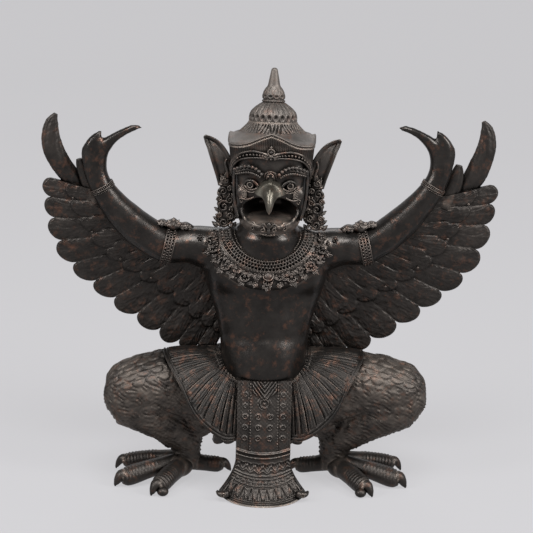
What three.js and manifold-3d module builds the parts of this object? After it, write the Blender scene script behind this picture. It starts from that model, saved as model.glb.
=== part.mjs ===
// A crouching garuda in cast bronze: a winged, bird-legged figure with a beaked mask, a tiered crown,
// a broad necklace and a pleated skirt whose front sash reaches the ground. It is one casting.
// Millimetres, +Z up. The figure faces -Y, and +X is to the right of someone who looks at its face.
import * as THREE from "three";
import { mergeVertices } from "three/addons/utils/BufferGeometryUtils.js";
import Module from "manifold-3d";

const wasm = await Module();
wasm.setup();

// Driving dimensions. The free form below is drawn at its height of 391 mm and keeps its proportions.
const drawnHeight = 391;
const figureHeight = 391;
const share = figureHeight / drawnHeight;

const headTurn = -4.5; // degrees towards -X
const headShift = 2;
const crownAxis = -10; // y of the crown's and the head's own axis
const wingSway = 4; // how far the wings stand off towards +X
const kneeSway = 2.5;
const handRise = 2.5; // the +X hand stands this much higher, and the other as much lower

const spireRadius = 5.4;
const petalCount = 8;
const petalDepth = 0.05; // share of the dome's radius
const brimHeight = 329.4;
const brimHalfWidth = 38.3;
const brimPeakRise = 9.9;
const brimBand = 3.4;
const brimBow = 6; // how far its middle stands forward of its ends
const mouthHalfWidth = 24.4;
const mouthFloor = 264.5;
const mouthHeight = 18;
const mouthDepth = 20;
const beakHalfWidth = 14.8;
const eyeRadius = 4.2;

const collarInnerHalf = 29;
const collarReach = 28;
const collarProud = 4.2;
const rosetteCount = 12;
const rosetteReach = 3.2;
const rosetteProud = 1.6;

const armletWidth = 9;
const armletProud = 1.7;
const bangleWidth = 3.4;
const bangleProud = 0.7;

const featherCount = 11; // of each wing
const featherThickness = 7;
const covertShare = 0.46; // where the coverts end, as a share of a feather's length
const covertProud = 2.6;
const lobeDepth = 0.45; // how deep the notches are, as a share of a feather's half width
const featherLean = 1.5; // how far a feather's upper edge stands over the feather before it

const skirtThickness = 5;
const pleatCount = 12; // on each side of the sash
const pleatShare = 0.56; // how far round the pleats go, from the sash over the thigh
const pleatDepth = 1.6;
const hemProud = 1.4;
const sashThickness = 9;
const sashHalfWidth = 24.8;
const sashBorder = 0.28; // share of the half width
const sashFlareTop = 34;
const foldHeight = 43;
const foldHalfHeight = 4.6;
const foldProud = 2;
const footHalfWidth = 43;
const tailHalfWidth = 54;
const tailReach = 72.8; // y of the middle of its end
const footReach = 22.2; // how far the sash's foot stands forward of the panel

const clawLength = 13;

const bronze = new THREE.MeshStandardMaterial({ color: 0x2e2723, roughness: 0.46, metalness: 0.85 });

const point = (x, y, z) => new THREE.Vector3(x, y, z).multiplyScalar(share);
const smooth = (t) => t * t * (3 - 2 * t);

// The geometry without its normals and texture coordinates, and with its shared corners merged.
function welded(geometry) {
  const bare = geometry.clone();
  bare.deleteAttribute("normal");
  bare.deleteAttribute("uv");
  return mergeVertices(bare, 1e-3);
}

function signedVolume(geometry) {
  const corners = [0, 1, 2].map(() => new THREE.Vector3());
  let sum = 0;
  for (let i = 0; i < geometry.index.count; i += 3) {
    corners.forEach((corner, k) => {
      corner.fromBufferAttribute(geometry.attributes.position, geometry.index.getX(i + k));
    });
    sum += corners[0].dot(corners[1].cross(corners[2]));
  }
  return sum;
}

// A closed geometry as a solid whose faces point out.
function solidOf(geometry) {
  const closed = welded(geometry);
  const faces = new Uint32Array(closed.index.array);
  if (signedVolume(closed) < 0) {
    for (let i = 0; i < faces.length; i += 3) {
      [faces[i + 1], faces[i + 2]] = [faces[i + 2], faces[i + 1]];
    }
  }
  const vertProperties = new Float32Array(closed.attributes.position.array);
  return new wasm.Manifold(new wasm.Mesh({ numProp: 3, vertProperties, triVerts: faces }));
}

function joined(geometries) {
  return geometries.map(solidOf).reduce((whole, next) => whole.add(next));
}

const mirrored = (geometry) => geometry.clone().scale(-1, 1, 1);
const pair = (geometry) => [geometry, mirrored(geometry)];

// The same geometry with each of its points moved by a function.
function warped(geometry, move) {
  const spots = geometry.attributes.position;
  const spot = new THREE.Vector3();
  for (let i = 0; i < spots.count; i += 1) {
    const moved = move(spot.fromBufferAttribute(spots, i));
    spots.setXYZ(i, moved.x, moved.y, moved.z);
  }
  return geometry;
}

const rounded = (value, power) => Math.sign(value) * Math.abs(value) ** (2 / power);

// A closed form through stations [x, y, z, half width, half depth]. Its sections are superellipses
// across the path, with their depth towards `face`, and its two ends are flat.
function loft(stations, { around = 10, power = 2, face = [0, -1, 0] } = {}) {
  const path = new THREE.CatmullRomCurve3(stations.map(([x, y, z]) => point(x, y, z)));
  const girth = new THREE.CatmullRomCurve3(stations.map(([, , , wide, deep]) => point(wide, deep, 0)));
  const facing = new THREE.Vector3(...face).normalize();
  const rows = stations.length + 1;
  return warped(new THREE.SphereGeometry(1, around, rows), (spot) => {
    const row = (Math.acos(THREE.MathUtils.clamp(spot.y, -1, 1)) / Math.PI) * rows;
    const t = THREE.MathUtils.clamp((row - 1) / (rows - 2), 0, 1);
    const pole = row < 0.5 || row > rows - 0.5;
    const behind = path.getPoint(Math.max(t - 0.01, 0));
    const tangent = path.getPoint(Math.min(t + 0.01, 1)).sub(behind).normalize();
    const depth = facing.clone().addScaledVector(tangent, -facing.dot(tangent)).normalize();
    const width = depth.clone().cross(tangent);
    const size = girth.getPoint(t);
    const angle = Math.atan2(spot.z, spot.x);
    const across = pole ? 0 : rounded(Math.cos(angle), power) * size.x;
    const out = pole ? 0 : rounded(Math.sin(angle), power) * size.y;
    return path.getPoint(t).addScaledVector(width, across).addScaledVector(depth, out);
  });
}

function blob([x, y, z], [rx, ry, rz], { around = 8, along = 6 } = {}) {
  const centre = point(x, y, z);
  return new THREE.SphereGeometry(1, around, along)
    .rotateX(Math.PI / 2)
    .scale(rx * share, ry * share, rz * share)
    .translate(centre.x, centre.y, centre.z);
}

// A plate over a grid: `place(u, v, back)` gives the front surface, and the back one where back is true.
function plate(columns, rows, place) {
  return warped(new THREE.BoxGeometry(1, 1, 1, columns, rows, 1), (spot) =>
    place(spot.x + 0.5, spot.y + 0.5, spot.z < 0),
  );
}

// A turned form about the crown's axis from triples of radius, height and how deep its petals are.
function turned(profile, petals) {
  const outline = profile.map(([r, z]) => new THREE.Vector2(r * share, z * share));
  const form = new THREE.LatheGeometry(outline, 2 * petals);
  const rows = profile.length;
  const spots = form.attributes.position;
  for (let i = 0; i < spots.count; i += 1) {
    const depth = profile[i % rows][2] ?? 0;
    const side = Math.floor(i / rows) % 2 ? -1 : 1;
    spots.setX(i, spots.getX(i) * (1 + side * depth));
    spots.setZ(i, spots.getZ(i) * (1 + side * depth));
  }
  return form.rotateX(Math.PI / 2).translate(0, crownAxis * share, 0);
}

// Torso, throat and shoulders
function torso() {
  const trunk = loft(
    [
      [0, 2, 92, 40, 30],
      [0, -5, 110, 37, 33],
      [0, -6, 124, 39, 34.5],
      [0, -4, 146, 41, 33],
      [0, -3, 168, 46.5, 31.5],
      [0, -3, 190, 53.5, 33],
      [0, -2, 212, 57.5, 32.5],
      [0, -1, 231, 57, 28],
      [0, 0, 242, 45, 22],
      [0, -2, 248, 32, 17],
    ],
    { around: 12, power: 2.3 },
  );
  const throat = loft([
    [0, -4, 214, 30, 28],
    [0, -9, 232, 29, 31],
    [0, -10, 247, 26.4, 30.5],
    [0, -9, 257, 28, 28],
    [0, -8, 266, 27, 26],
  ]);
  return [trunk, throat];
}

// The head, its mask and its crown, all turned and shifted together
function skull() {
  return loft(
    [
      [0, -20, 247, 17, 18],
      [0, -14, 256, 25.5, 27],
      [0, -13, 266, 29.4, 31],
      [0, -12, 280, 31.8, 34],
      [0, -11, 296, 33.3, 35],
      [0, -10, 312, 35, 35.5],
      [0, -10, 329, 37, 35.4],
    ],
    { around: 12, power: 3.2 },
  );
}

// The open mouth: flat below, arched above and deep.
function mouthHollow() {
  return plate(6, 1, (u, v, back) => {
    const across = 2 * u - 1;
    const roof = mouthFloor + mouthHeight * (1 - 0.45 * Math.abs(across) ** 2.5);
    const narrowing = back ? 1 : 0.75;
    const edge = v > 0.5 ? roof : mouthFloor - 1.5 * across * across;
    const middle = mouthFloor + mouthHeight / 2;
    const z = middle + (edge - middle) * narrowing;
    return point(across * mouthHalfWidth * narrowing, back ? -70 : -46 + mouthDepth, z);
  });
}

function beak() {
  return loft(
    [
      [0, -40, 304.4, 4.2, 4],
      [0, -47, 299.4, 6.8, 7],
      [0, -51, 293, beakHalfWidth * 0.73, 9.6],
      [0, -53.5, 287, beakHalfWidth, 9.8],
      [0, -58.4, 283.6, 6.6, 7],
      [0, -62, 278.4, 3.1, 4],
      [0, -63.6, 272.4, 1, 1.4],
    ],
    { around: 8, power: 1.9 },
  );
}

function faceForms() {
  const brow = loft(
    [
      [6, -47, 300.4, 1.6, 2],
      [12, -47.6, 305.6, 2.5, 2.6],
      [20.5, -46.6, 308, 2.7, 2.6],
      [28, -43.8, 305.6, 2.2, 2.3],
      [33, -38, 302, 1.4, 1.5],
    ],
    { around: 4 },
  );
  const eye = blob([18.3, -45, 293.4], [eyeRadius * 1.2, 3.2, eyeRadius], { around: 6, along: 4 });
  const diadem = loft(
    [
      [2, -46.5, 314.4, 1.6, 2.4],
      [10, -46.4, 318.2, 1.8, 2.4],
      [21, -45, 318.4, 1.8, 2.4],
      [31, -39, 313.6, 1.8, 2.2],
      [34.4, -26, 306.6, 1.6, 2],
    ],
    { around: 4 },
  );
  const halfLip = [
    [26, -36, 268],
    [20.5, -45, 261.8],
    [9.5, -54, 258.6],
  ];
  const otherHalf = halfLip.map(([x, y, z]) => [-x, y, z]).reverse();
  const rim = [...halfLip, [0, -56.2, 259.4], ...otherHalf].map((spot) => [...spot, 1.9, 2.3]);
  const lip = loft(rim, { around: 4 });
  const bill = blob([0, -36, 258.5], [25, 20, 8.5], { along: 4 });
  return [...[brow, eye, diadem].flatMap(pair), lip, bill];
}

function ears() {
  const ear = loft(
    [
      [39.6, -8, 284, 7.6, 4],
      [41.2, -7.6, 296, 7.8, 4.2],
      [45.2, -6.4, 306.5, 7.4, 3.8],
      [51, -4, 315.6, 6, 3],
      [57.2, -2, 321.6, 3.3, 2],
      [61, -1, 324.6, 0.9, 0.9],
    ],
    { around: 6 },
  );
  const pendant = loft(
    [
      [40, -9, 291, 8, 5.4],
      [38.5, -9, 279, 9.6, 6],
      [38.3, -9, 267, 10.4, 6],
      [39.4, -9, 257.5, 10.6, 5.6],
      [41.3, -9, 247, 9, 4.6],
    ],
    { around: 6, power: 2.6 },
  );
  return [ear, pendant].flatMap(pair);
}

// How high the brim's upper edge stands at a distance from its middle: an ogee with its peak there.
function brimEdge(x) {
  const reach = Math.min(Math.abs(x) / 34, 1);
  const arch = (1 + Math.cos(Math.PI * reach)) / 2;
  return brimHeight + brimPeakRise * arch ** 1.5;
}

function crown() {
  const brim = plate(10, 1, (u, v, back) => {
    const x = (2 * u - 1) * (brimHalfWidth - 1.6);
    const bow = brimBow * (1 - (2 * u - 1) ** 4);
    return point(x, back ? -41.5 - bow : -26, brimEdge(x) - (v > 0.5 ? 0 : brimBand));
  });
  const roof = loft(
    [
      [0, crownAxis, 325.5, 37.8, 36],
      [0, crownAxis, 332.8, brimHalfWidth, 36.6],
      [0, crownAxis, 334.6, 28.8, 29],
      [0, crownAxis, 339, 24.2, 24.6],
      [0, crownAxis, 344, 20.8, 20.8],
    ],
    { around: 16, power: 3.4 },
  );
  const dome = [
    [0, 341],
    [19.6, 341],
    [21, 343.8, petalDepth],
    [21, 347.4, petalDepth],
    [20.2, 351.4, petalDepth / 2],
    [16.3, 355.7, petalDepth / 2],
    [10.8, 359.4],
    [0, 359.4],
  ];
  const spire = [
    [0, 356],
    [9.4, 356],
    [9.6, 361],
    [9.2, 366.6],
    [7.4, 371.2],
    [spireRadius, 375],
    [spireRadius * 0.76, 382],
    [spireRadius * 0.5, 389.4],
    [0, drawnHeight],
  ];
  return [brim, roof, turned(dome, petalCount), turned(spire, 4)];
}

function head() {
  const mask = solidOf(skull()).subtract(solidOf(mouthHollow()));
  const whole = mask.add(joined([beak(), ...faceForms(), ...ears(), ...crown()]));
  return whole
    .translate([0, -crownAxis * share, 0])
    .rotate([0, 0, headTurn])
    .translate([headShift * share, crownAxis * share, 0]);
}

// The necklace: a ring that lies round the neck and down over the chest
function collarPlace(angle, reach) {
  const front = Math.cos(angle);
  const back = front < 0;
  const low = back ? 4 + 16 * reach : 20 + 29.5 * reach;
  const out = back ? front * (30 + 12 * reach) : front ** 0.8 * (24.5 + 2.5 * reach);
  const drop = Math.abs(front) * low + (1 - Math.abs(front)) * 8 * reach;
  return point(Math.sin(angle) * (collarInnerHalf + collarReach * reach), -14 - out, 247 - drop);
}

function collar() {
  const segments = 2 * rosetteCount;
  return warped(new THREE.TorusGeometry(2, 1, 6, segments), (spot) => {
    const angle = Math.atan2(spot.x, -spot.y);
    const outward = Math.hypot(spot.x, spot.y) - 2;
    const lobe = Math.round((angle / (2 * Math.PI)) * segments) % 2 ? 1 : -1;
    const onRim = Math.max(0, outward);
    const place = collarPlace(angle, (outward + 1) / 2 + (lobe * onRim * rosetteReach) / 50);
    const height = collarProud + (lobe + 1) * onRim * rosetteProud;
    const lift = spot.z > 0 ? spot.z * height : spot.z * 9 + onRim * 1.4;
    const normal = new THREE.Vector3(Math.sin(angle) * 0.25, -Math.cos(angle), 0.75).normalize();
    return place.addScaledVector(normal, lift * share);
  });
}

// Arms, hands and their ornaments
const armStations = [
  [36, -2, 220, 22, 22],
  [54, -3, 224, 19.5, 20],
  [70, -4, 227, 17, 18],
  [89.5, -5, 226.5, 15.6, 15.6],
  [105, -5, 235, 15.6, 15.2],
  [121.4, -5, 248, 15, 14.5],
  [137.5, -5, 265.2, 12.6, 12.2],
  [149.1, -5, 282, 10.4, 9.4],
  [154, -5, 294, 10.2, 8],
  [155.4, -5, 304, 10.8, 7.4],
  [155, -5, 314, 11.8, 6.4],
  [150, -5, 322, 8, 5],
];

function armWithHand() {
  const limb = loft(armStations, { around: 8 });
  const longFinger = loft(
    [
      [152, -5, 312, 8, 5.6],
      [146, -6, 320, 6.2, 5],
      [138, -7, 327.2, 4.4, 4.2],
      [127.5, -7, 333.4, 3.3, 3.6],
      [119.5, -6, 336, 2.5, 2.8],
      [113.4, -5, 335.7, 0.8, 1],
    ],
    { around: 6 },
  );
  const thumb = loft(
    [
      [159, -5, 311, 7.6, 5.8],
      [158.6, -6, 320.5, 5.2, 5],
      [154, -6, 327.6, 3.7, 3.8],
      [148.6, -6, 333.6, 1.3, 1.4],
    ],
    { around: 6 },
  );
  return [limb, longFinger, thumb].map((form) => raised(form, handRise));
}

// An arm's form, whose hand end is lifted.
function raised(form, rise) {
  return warped(form, (spot) => {
    const along = THREE.MathUtils.clamp((Math.abs(spot.x) / share - 70) / 80, 0, 1);
    spot.z += rise * share * smooth(along);
    return spot;
  });
}

// A band round the arm. Its place is a count of arm stations.
function armBand(at, width, proud) {
  const path = new THREE.CatmullRomCurve3(armStations.map(([x, y, z]) => new THREE.Vector3(x, y, z)));
  const girth = new THREE.CatmullRomCurve3(armStations.map(([, , , w, d]) => new THREE.Vector3(w, d, 0)));
  const t = at / (armStations.length - 1);
  const tangent = path.getTangent(t);
  const size = girth.getPoint(t);
  const ends = [-width / 2, width / 2].map((step) => {
    const place = path.getPoint(t).addScaledVector(tangent, step);
    return [place.x, place.y, place.z, size.x + proud, size.y + proud];
  });
  return loft(ends, { around: 8 });
}

function armOrnaments() {
  const rosette = loft(
    [
      [66.5, -5, 243.6, 1, 2],
      [73, -5, 244.6, 3.4, 6],
      [78.4, -5, 245, 2.8, 5.4],
      [84.8, -5, 245.6, 6.2, 8.5],
      [91, -5, 247, 2.8, 5.4],
      [95, -5, 247.8, 3.4, 6],
      [100, -5, 248.6, 1, 2],
    ],
    { around: 6 },
  );
  return [armBand(3, armletWidth, armletProud), armBand(7, bangleWidth, bangleProud), rosette];
}

// Wings: long feathers whose round tips make the edge, with the ends of shorter ones standing over them
const curve = (points) => new THREE.CatmullRomCurve3(points.map((p) => new THREE.Vector3(...p)));

const featherRoots = curve([
  [152, 3, 274],
  [126, 5, 247],
  [100, 8, 231],
  [74, 11, 222],
  [50, 14, 210],
  [34, 18, 184],
  [28, 19, 156],
]);
// The tips of the feathers, with one more place before the first and one after the last.
const featherTips = curve([
  [205, 9, 294],
  [207.5, 9, 276.6],
  [205.5, 9, 257.4],
  [202, 10, 236.3],
  [193.5, 11, 212.7],
  [176.2, 12, 191.6],
  [157.6, 14, 174.6],
  [138, 16, 157.4],
  [115.4, 18, 140.6],
  [93.2, 19, 126],
  [73, 20, 119],
  [55, 20, 117],
  [38, 20, 115],
]);

// All the feathers of a wing as one plate. Each has a round tip, its upper edge stands over the feather
// before it, and its covert ends part of the way along it.
function feathers() {
  const strips = 4;
  const total = featherCount * strips - 1;
  const tipAt = (place) => featherTips.getPoint((place + 0.5) / (featherCount + 1));
  return plate(total, 3, (u, v, back) => {
    const column = Math.round(u * total);
    const feather = Math.floor(column / strips);
    const across = ((column % strips) / (strips - 1)) * 0.995;
    const root = featherRoots.getPoint((feather + across) / featherCount);
    const tip = tipAt(feather + across);
    const halfWidth = tipAt(feather + 1).distanceTo(tipAt(feather)) / 2;
    const roundness = (1 - Math.sqrt(1 - (2 * across - 1) ** 2)) * halfWidth * lobeDepth;
    const notch = roundness / tip.distanceTo(root);
    const covertEnd = covertShare + 0.14 * u * u - notch;
    const row = Math.round(v * 3);
    const place = root.lerp(tip, [0, covertEnd, covertEnd + 0.015, 1 - notch][row]);
    const ridge = 1 - Math.abs(2 * across - 1);
    const half = (featherThickness / 2) * (row === 3 ? 0.4 + 0.3 * ridge : 1);
    const proud = row < 2 ? covertProud : 0;
    place.y += (back ? half : -half - proud) - featherLean * (1 - 2 * across);
    return place.multiplyScalar(share);
  });
}

function wing() {
  const horn = loft(
    [
      [168, 10, 262, 7, 4],
      [179, 9, 282, 9, 4.2],
      [188, 7, 297, 9.6, 4.4],
      [194.3, 5.5, 312, 9.2, 4],
      [196, 5, 326, 7.6, 3.4],
      [194.6, 5, 336.5, 5.2, 2.8],
      [191.4, 5, 343.2, 1.8, 1.4],
    ],
    { around: 6 },
  );
  const stub = loft(
    [
      [158, 4, 262, 9, 4.5],
      [165.6, 4, 284, 7.2, 4],
      [169.6, 3.5, 297, 5.2, 3],
      [171, 3, 303, 3, 2],
    ],
    { around: 6 },
  );
  return [horn, stub, feathers()];
}

// Legs and feet
function leg() {
  const face = [0.2, -1, 0];
  const thigh = loft(
    [
      [24, 8, 85, 35, 34],
      [50, 5, 88.5, 36.5, 34],
      [76, -2, 92, 34.5, 33],
      [100, -10, 95.5, 29.2, 29.5],
      [120, -17, 95, 27, 27],
      [136, -21, 94, 21, 22],
      [146, -23, 93.5, 8, 10],
    ],
    { face },
  );
  const calf = loft(
    [
      [142.5, -22, 91, 7, 9],
      [136.5, -21, 85, 14, 15],
      [127.5, -20, 79.5, 22.5, 21.5],
      [108.5, -14, 68.5, 24, 23],
      [88.5, -6, 54.5, 22.5, 22],
      [73, 0, 39, 18.8, 17.5],
      [70, 1, 27, 14.2, 14],
      [70, 0, 8, 12.5, 12.5],
    ],
    { face },
  );
  return [thigh, calf];
}

// A toe from the ankle to its claw: [x, y, z, radius] where it starts, at its knuckle and at its end,
// and the way the claw points.
function toe(start, knuckle, end, clawWay) {
  const way = new THREE.Vector3(...clawWay).normalize().multiplyScalar(clawLength);
  const [x, y, z, radius] = end;
  const bend = (step, height, size) => [x + way.x * step, y + way.y * step, height, size];
  const claw = [
    bend(0.16, z + radius * 0.3, radius * 0.62),
    bend(0.6, z + radius * 0.2, radius * 0.5),
    bend(1, 1.4, radius * 0.14),
  ];
  const girth = ([sx, sy, sz, size]) => [sx, sy, sz, size, size];
  return loft([start, knuckle, end, ...claw].map(girth), { around: 6, face: [0, 0, 1] });
}

function foot() {
  return [
    toe([72, -3, 15, 9.5], [100, -17, 13.5, 8.2], [125, -27, 8, 8.2], [12, -4, 0]),
    toe([72, 2, 16, 8.5], [100, 8, 13.5, 7], [125, 10, 9, 6.8], [14, 1.5, 0]),
    toe([71, -3, 15, 10], [84, -26, 11, 9], [94, -44, 7.6, 7.8], [9, -9, 0]),
    toe([68, 0, 15, 9.5], [52, 4, 10, 7.6], [38, 6, 7.6, 7], [-12, 1, 0]),
  ];
}

// The pleated skirt: a plate between the waist and the hem, from the sash round the thigh to the back
const skirtWaist = curve([
  [18, -37, 109],
  [27.7, -36, 113],
  [35.5, -31, 120],
  [40, -18, 128],
  [41, -2, 131],
  [38, 14, 131],
  [26, 26, 129],
  [0, 30, 128],
]);
const skirtHem = curve([
  [18, -44, 56.8],
  [35.4, -56, 59.7],
  [60.6, -55, 81.7],
  [75, -46, 113],
  [83.5, -22, 127.5],
  [84, 6, 125],
  [72, 32, 100],
  [48, 44, 80],
  [0, 46, 72],
]);

function skirt() {
  const plainColumns = 4;
  const columns = 2 * pleatCount + plainColumns;
  const pleatEnd = (2 * pleatCount) / columns;
  return plate(columns, 2, (u, v, back) => {
    const plainPart = Math.max(0, (u - pleatEnd) / (1 - pleatEnd));
    const round = Math.min(u / pleatEnd, 1) * pleatShare + plainPart * (1 - pleatShare);
    const place = skirtWaist.getPoint(round).lerp(skirtHem.getPoint(round), v);
    const angle = Math.PI * round;
    const outward = new THREE.Vector3(0.45, -Math.cos(angle), 0.55 * Math.sin(angle)).normalize();
    const ridge = Math.round(u * columns) % 2 ? 1 : -1;
    const pleated = u < pleatEnd ? pleatDepth * ridge * Math.min(1, v * 2) : 0;
    const bulge = 3.5 * Math.sin(Math.PI * v);
    const edge = v > 0.95 ? hemProud : 0;
    const offset = back ? -skirtThickness : pleated + edge;
    return place.addScaledVector(outward, bulge + offset).multiplyScalar(share);
  });
}

// The front sash: down from the waist in front of the legs, and flared on the ground
function sashPlace(across, height, back) {
  const drop = THREE.MathUtils.clamp(1 - height / 110, 0, 1);
  const flare = THREE.MathUtils.clamp((sashFlareTop - height) / sashFlareTop, 0, 1) ** 1.5;
  const x = across * (sashHalfWidth + (footHalfWidth - sashHalfWidth) * flare);
  const front = -44 - 10 * Math.sin((Math.PI / 2) * Math.min(1, drop * 1.6)) - footReach * flare;
  const curl = (1.5 + 15 * flare) * across * across;
  const fold = height === foldHeight ? foldProud : 0;
  const border = Math.abs(across) > 1 - sashBorder && height > sashFlareTop ? 1 : 0;
  const lift = 6 * Math.abs(across) ** 5 * flare;
  const y = front + curl - fold - border;
  return point(x, back ? y + sashThickness : y, height + lift);
}

function sash() {
  const foldEdges = [foldHeight + foldHalfHeight, foldHeight, foldHeight - foldHalfHeight];
  const levels = [112, 80, ...foldEdges, 28, 18, 9, -1];
  return plate(8, levels.length - 1, (u, v, back) => {
    const height = levels[Math.round((1 - v) * (levels.length - 1))];
    return sashPlace(2 * u - 1, height, back);
  });
}

// The short tail under the back: a fan with long feathers in its middle and short, steep ones at its sides
function tail() {
  const columns = 12;
  return plate(columns, 1, (u, v, back) => {
    const across = 2 * u - 1;
    const bow = across * across;
    const long = Math.abs(across) < 0.58;
    const root = point(across * tailHalfWidth * 0.63, 20 - 6 * bow, 100);
    const tip = long
      ? point(across * tailHalfWidth * 0.7, tailReach - 8 * bow, 12)
      : point(across * tailHalfWidth, 48 - 6 * bow, 15 * bow);
    const lobe = 1 - 0.04 * (Math.round(u * columns) % 2);
    const place = root.lerp(tip, v > 0.5 ? 0 : lobe);
    place.y += (back ? -1 : 1) * (v > 0.5 ? 6 : 2.6) * share;
    return place;
  });
}

// A form of a wing or a leg, whose outer part stands a little towards +X, and less so above the wrist.
function swayed(form, sway) {
  return warped(form, (spot) => {
    const out = THREE.MathUtils.clamp((Math.abs(spot.x) / share - 60) / 60, 0, 1);
    const above = THREE.MathUtils.clamp((spot.z / share - 280) / 30, 0, 1);
    spot.x += sway * share * smooth(out) * (1 - 0.7 * smooth(above));
    return spot;
  });
}

function trimmedBelow(solid) {
  const block = new THREE.BoxGeometry(600, 400, 60).scale(share, share, 1).translate(0, 0, -30);
  return solid.subtract(solidOf(block));
}

function figure() {
  const arms = armWithHand();
  const lowerArms = arms.map((form) => raised(mirrored(form), -2 * handRise));
  const sides = [...armOrnaments(), ...foot(), skirt()].flatMap(pair);
  const wings = wing().flatMap(pair).map((form) => swayed(form, wingSway));
  const legs = leg().flatMap(pair).map((form) => swayed(form, kneeSway));
  const centre = [...torso(), collar(), sash(), tail()];
  const whole = joined([...centre, ...arms, ...lowerArms, ...sides, ...wings, ...legs]).add(head());
  return trimmedBelow(whole).translate([-wingSway * share, 0, 0]);
}

// A solid as a drawable geometry.
function geometryOf(solid) {
  const mesh = solid.getMesh();
  const corners = new Float32Array(mesh.numVert * 3);
  for (let i = 0; i < mesh.numVert; i += 1) {
    corners.set(mesh.vertProperties.subarray(i * mesh.numProp, i * mesh.numProp + 3), i * 3);
  }
  const geometry = new THREE.BufferGeometry();
  geometry.setAttribute("position", new THREE.BufferAttribute(corners, 3));
  geometry.setIndex(new THREE.BufferAttribute(mesh.triVerts, 1));
  geometry.computeVertexNormals();
  return geometry;
}

const casting = new THREE.Mesh(geometryOf(figure()), bronze);
casting.name = "garuda_figure";

const group = new THREE.Group();
group.name = "garuda";
group.add(casting);

export default group;
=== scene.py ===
"""A crouching garuda in cast bronze: its skin, mask, feathers and beads, and the folds of its cast skirt.

Forms are drawn in millimetres about the front sash's centre line, the figure faces -Y, and each piece is
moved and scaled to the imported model's frame when it is made.
"""

import math

import bpy
import numpy as np
from mathutils import Matrix, Vector


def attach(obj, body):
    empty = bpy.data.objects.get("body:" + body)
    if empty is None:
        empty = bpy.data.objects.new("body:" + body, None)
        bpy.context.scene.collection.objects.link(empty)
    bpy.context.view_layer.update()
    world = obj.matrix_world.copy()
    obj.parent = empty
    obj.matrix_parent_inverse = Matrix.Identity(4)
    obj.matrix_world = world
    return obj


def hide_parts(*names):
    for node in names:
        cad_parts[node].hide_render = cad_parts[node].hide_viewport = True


FRAME_SHIFT = np.array([-4.0, 0.0, 0.0])
TO_METRES = 0.001
TO_MILLIMETRES = 1000
HEAD_TURN = math.radians(-4.5)
HEAD_SHIFT = 2.0
CROWN_Y = -10.0
WING_SWAY = 4.0
KNEE_SWAY = 2.5
HAND_RISE = 2.5
FEATHER_DROP = 5.4
RIPPLE_WAVES = 9
SOFTEN_STEPS = 2
rng = np.random.default_rng(7)


# Curves and grids

def smooth(t):
    """A soft step: 0 up to t = 0 and 1 from t = 1."""
    t = np.clip(t, 0.0, 1.0)
    return t * t * (3 - 2 * t)


def unit(vectors):
    """The vectors at length 1."""
    return vectors / np.maximum(np.linalg.norm(vectors, axis=-1, keepdims=True), 1e-9)


def bump(x, width):
    """A smooth hill of height 1 at 0."""
    return np.exp(-((x / width) ** 2))


def rounded(value, power):
    """A sine or cosine as a rounded square has it: a power of 2 is a circle, and a higher one is squarer."""
    return np.sign(value) * np.abs(value) ** (2 / power)


def full_turn(count):
    """Angles evenly round a circle."""
    return np.linspace(0, 2 * math.pi, count, endpoint=False)


def spline(points, t):
    """Places along a centripetal curve through points, where t from 0 to 1 counts them evenly."""
    points = np.asarray(points, float)
    t = np.atleast_1d(np.asarray(t, float))
    ends = np.vstack([2 * points[0] - points[1], points, 2 * points[-1] - points[-2]])
    steps = np.maximum(np.linalg.norm(np.diff(ends[:, :3], axis=0), axis=1), 1e-6) ** 0.5
    place = np.clip(t, 0, 1) * (len(points) - 1)
    i = np.minimum(place.astype(int), len(points) - 2)
    f = (place - i)[:, None]
    a, b, c, d = ends[i], ends[i + 1], ends[i + 2], ends[i + 3]
    before, here, after = steps[i][:, None], steps[i + 1][:, None], steps[i + 2][:, None]
    start = ((b - a) / before - (c - a) / (before + here) + (c - b) / here) * here
    end = ((c - b) / here - (d - b) / (here + after) + (d - c) / after) * here
    square, cube = f * f, f * f * f
    return (b * (2 * cube - 3 * square + 1) + start * (cube - 2 * square + f)
            + c * (3 * square - 2 * cube) + end * (cube - square))


def ripple(points, pitch, seed):
    """A smooth uneven field over points, mostly from -1 to 1, about a pitch from one hill to the next."""
    turns = np.random.default_rng(seed)
    total = 0
    for _ in range(RIPPLE_WAVES):
        way = unit(turns.normal(0, 1, 3)) * turns.uniform(0.7, 1.5) * 2 * math.pi / pitch
        total = total + np.sin(points @ way + turns.uniform(0, 6.28))
    return total / RIPPLE_WAVES**0.5


def grid_normals(grid, wrap=False):
    """The ways square to a grid of points, whose last column may join its first."""
    if wrap:
        across = np.roll(grid, -1, axis=1) - np.roll(grid, 1, axis=1)
    else:
        across = np.gradient(grid, axis=1)
    return unit(np.cross(across, np.gradient(grid, axis=0)))


# Shapes: a shape is its points and its faces, as arrays of corner numbers

def strip_faces(rows, columns, wrap):
    """The faces between the points of a grid, whose last column may join its first."""
    row = np.arange(rows - 1)[:, None] * columns
    column = np.arange(columns if wrap else columns - 1)[None, :]
    after = (column + 1) % columns
    a, b = row + column, row + after
    return np.stack([a, b, b + columns, a + columns], axis=-1).reshape(-1, 4)


def edge_loop(rows, columns):
    """The numbers of the points round a grid's edge, in order."""
    top = np.arange(columns)
    right = np.arange(1, rows) * columns + columns - 1
    bottom = (rows - 1) * columns + np.arange(columns - 2, -1, -1)
    left = np.arange(rows - 2, 0, -1) * columns
    return np.concatenate([top, right, bottom, left])


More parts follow.
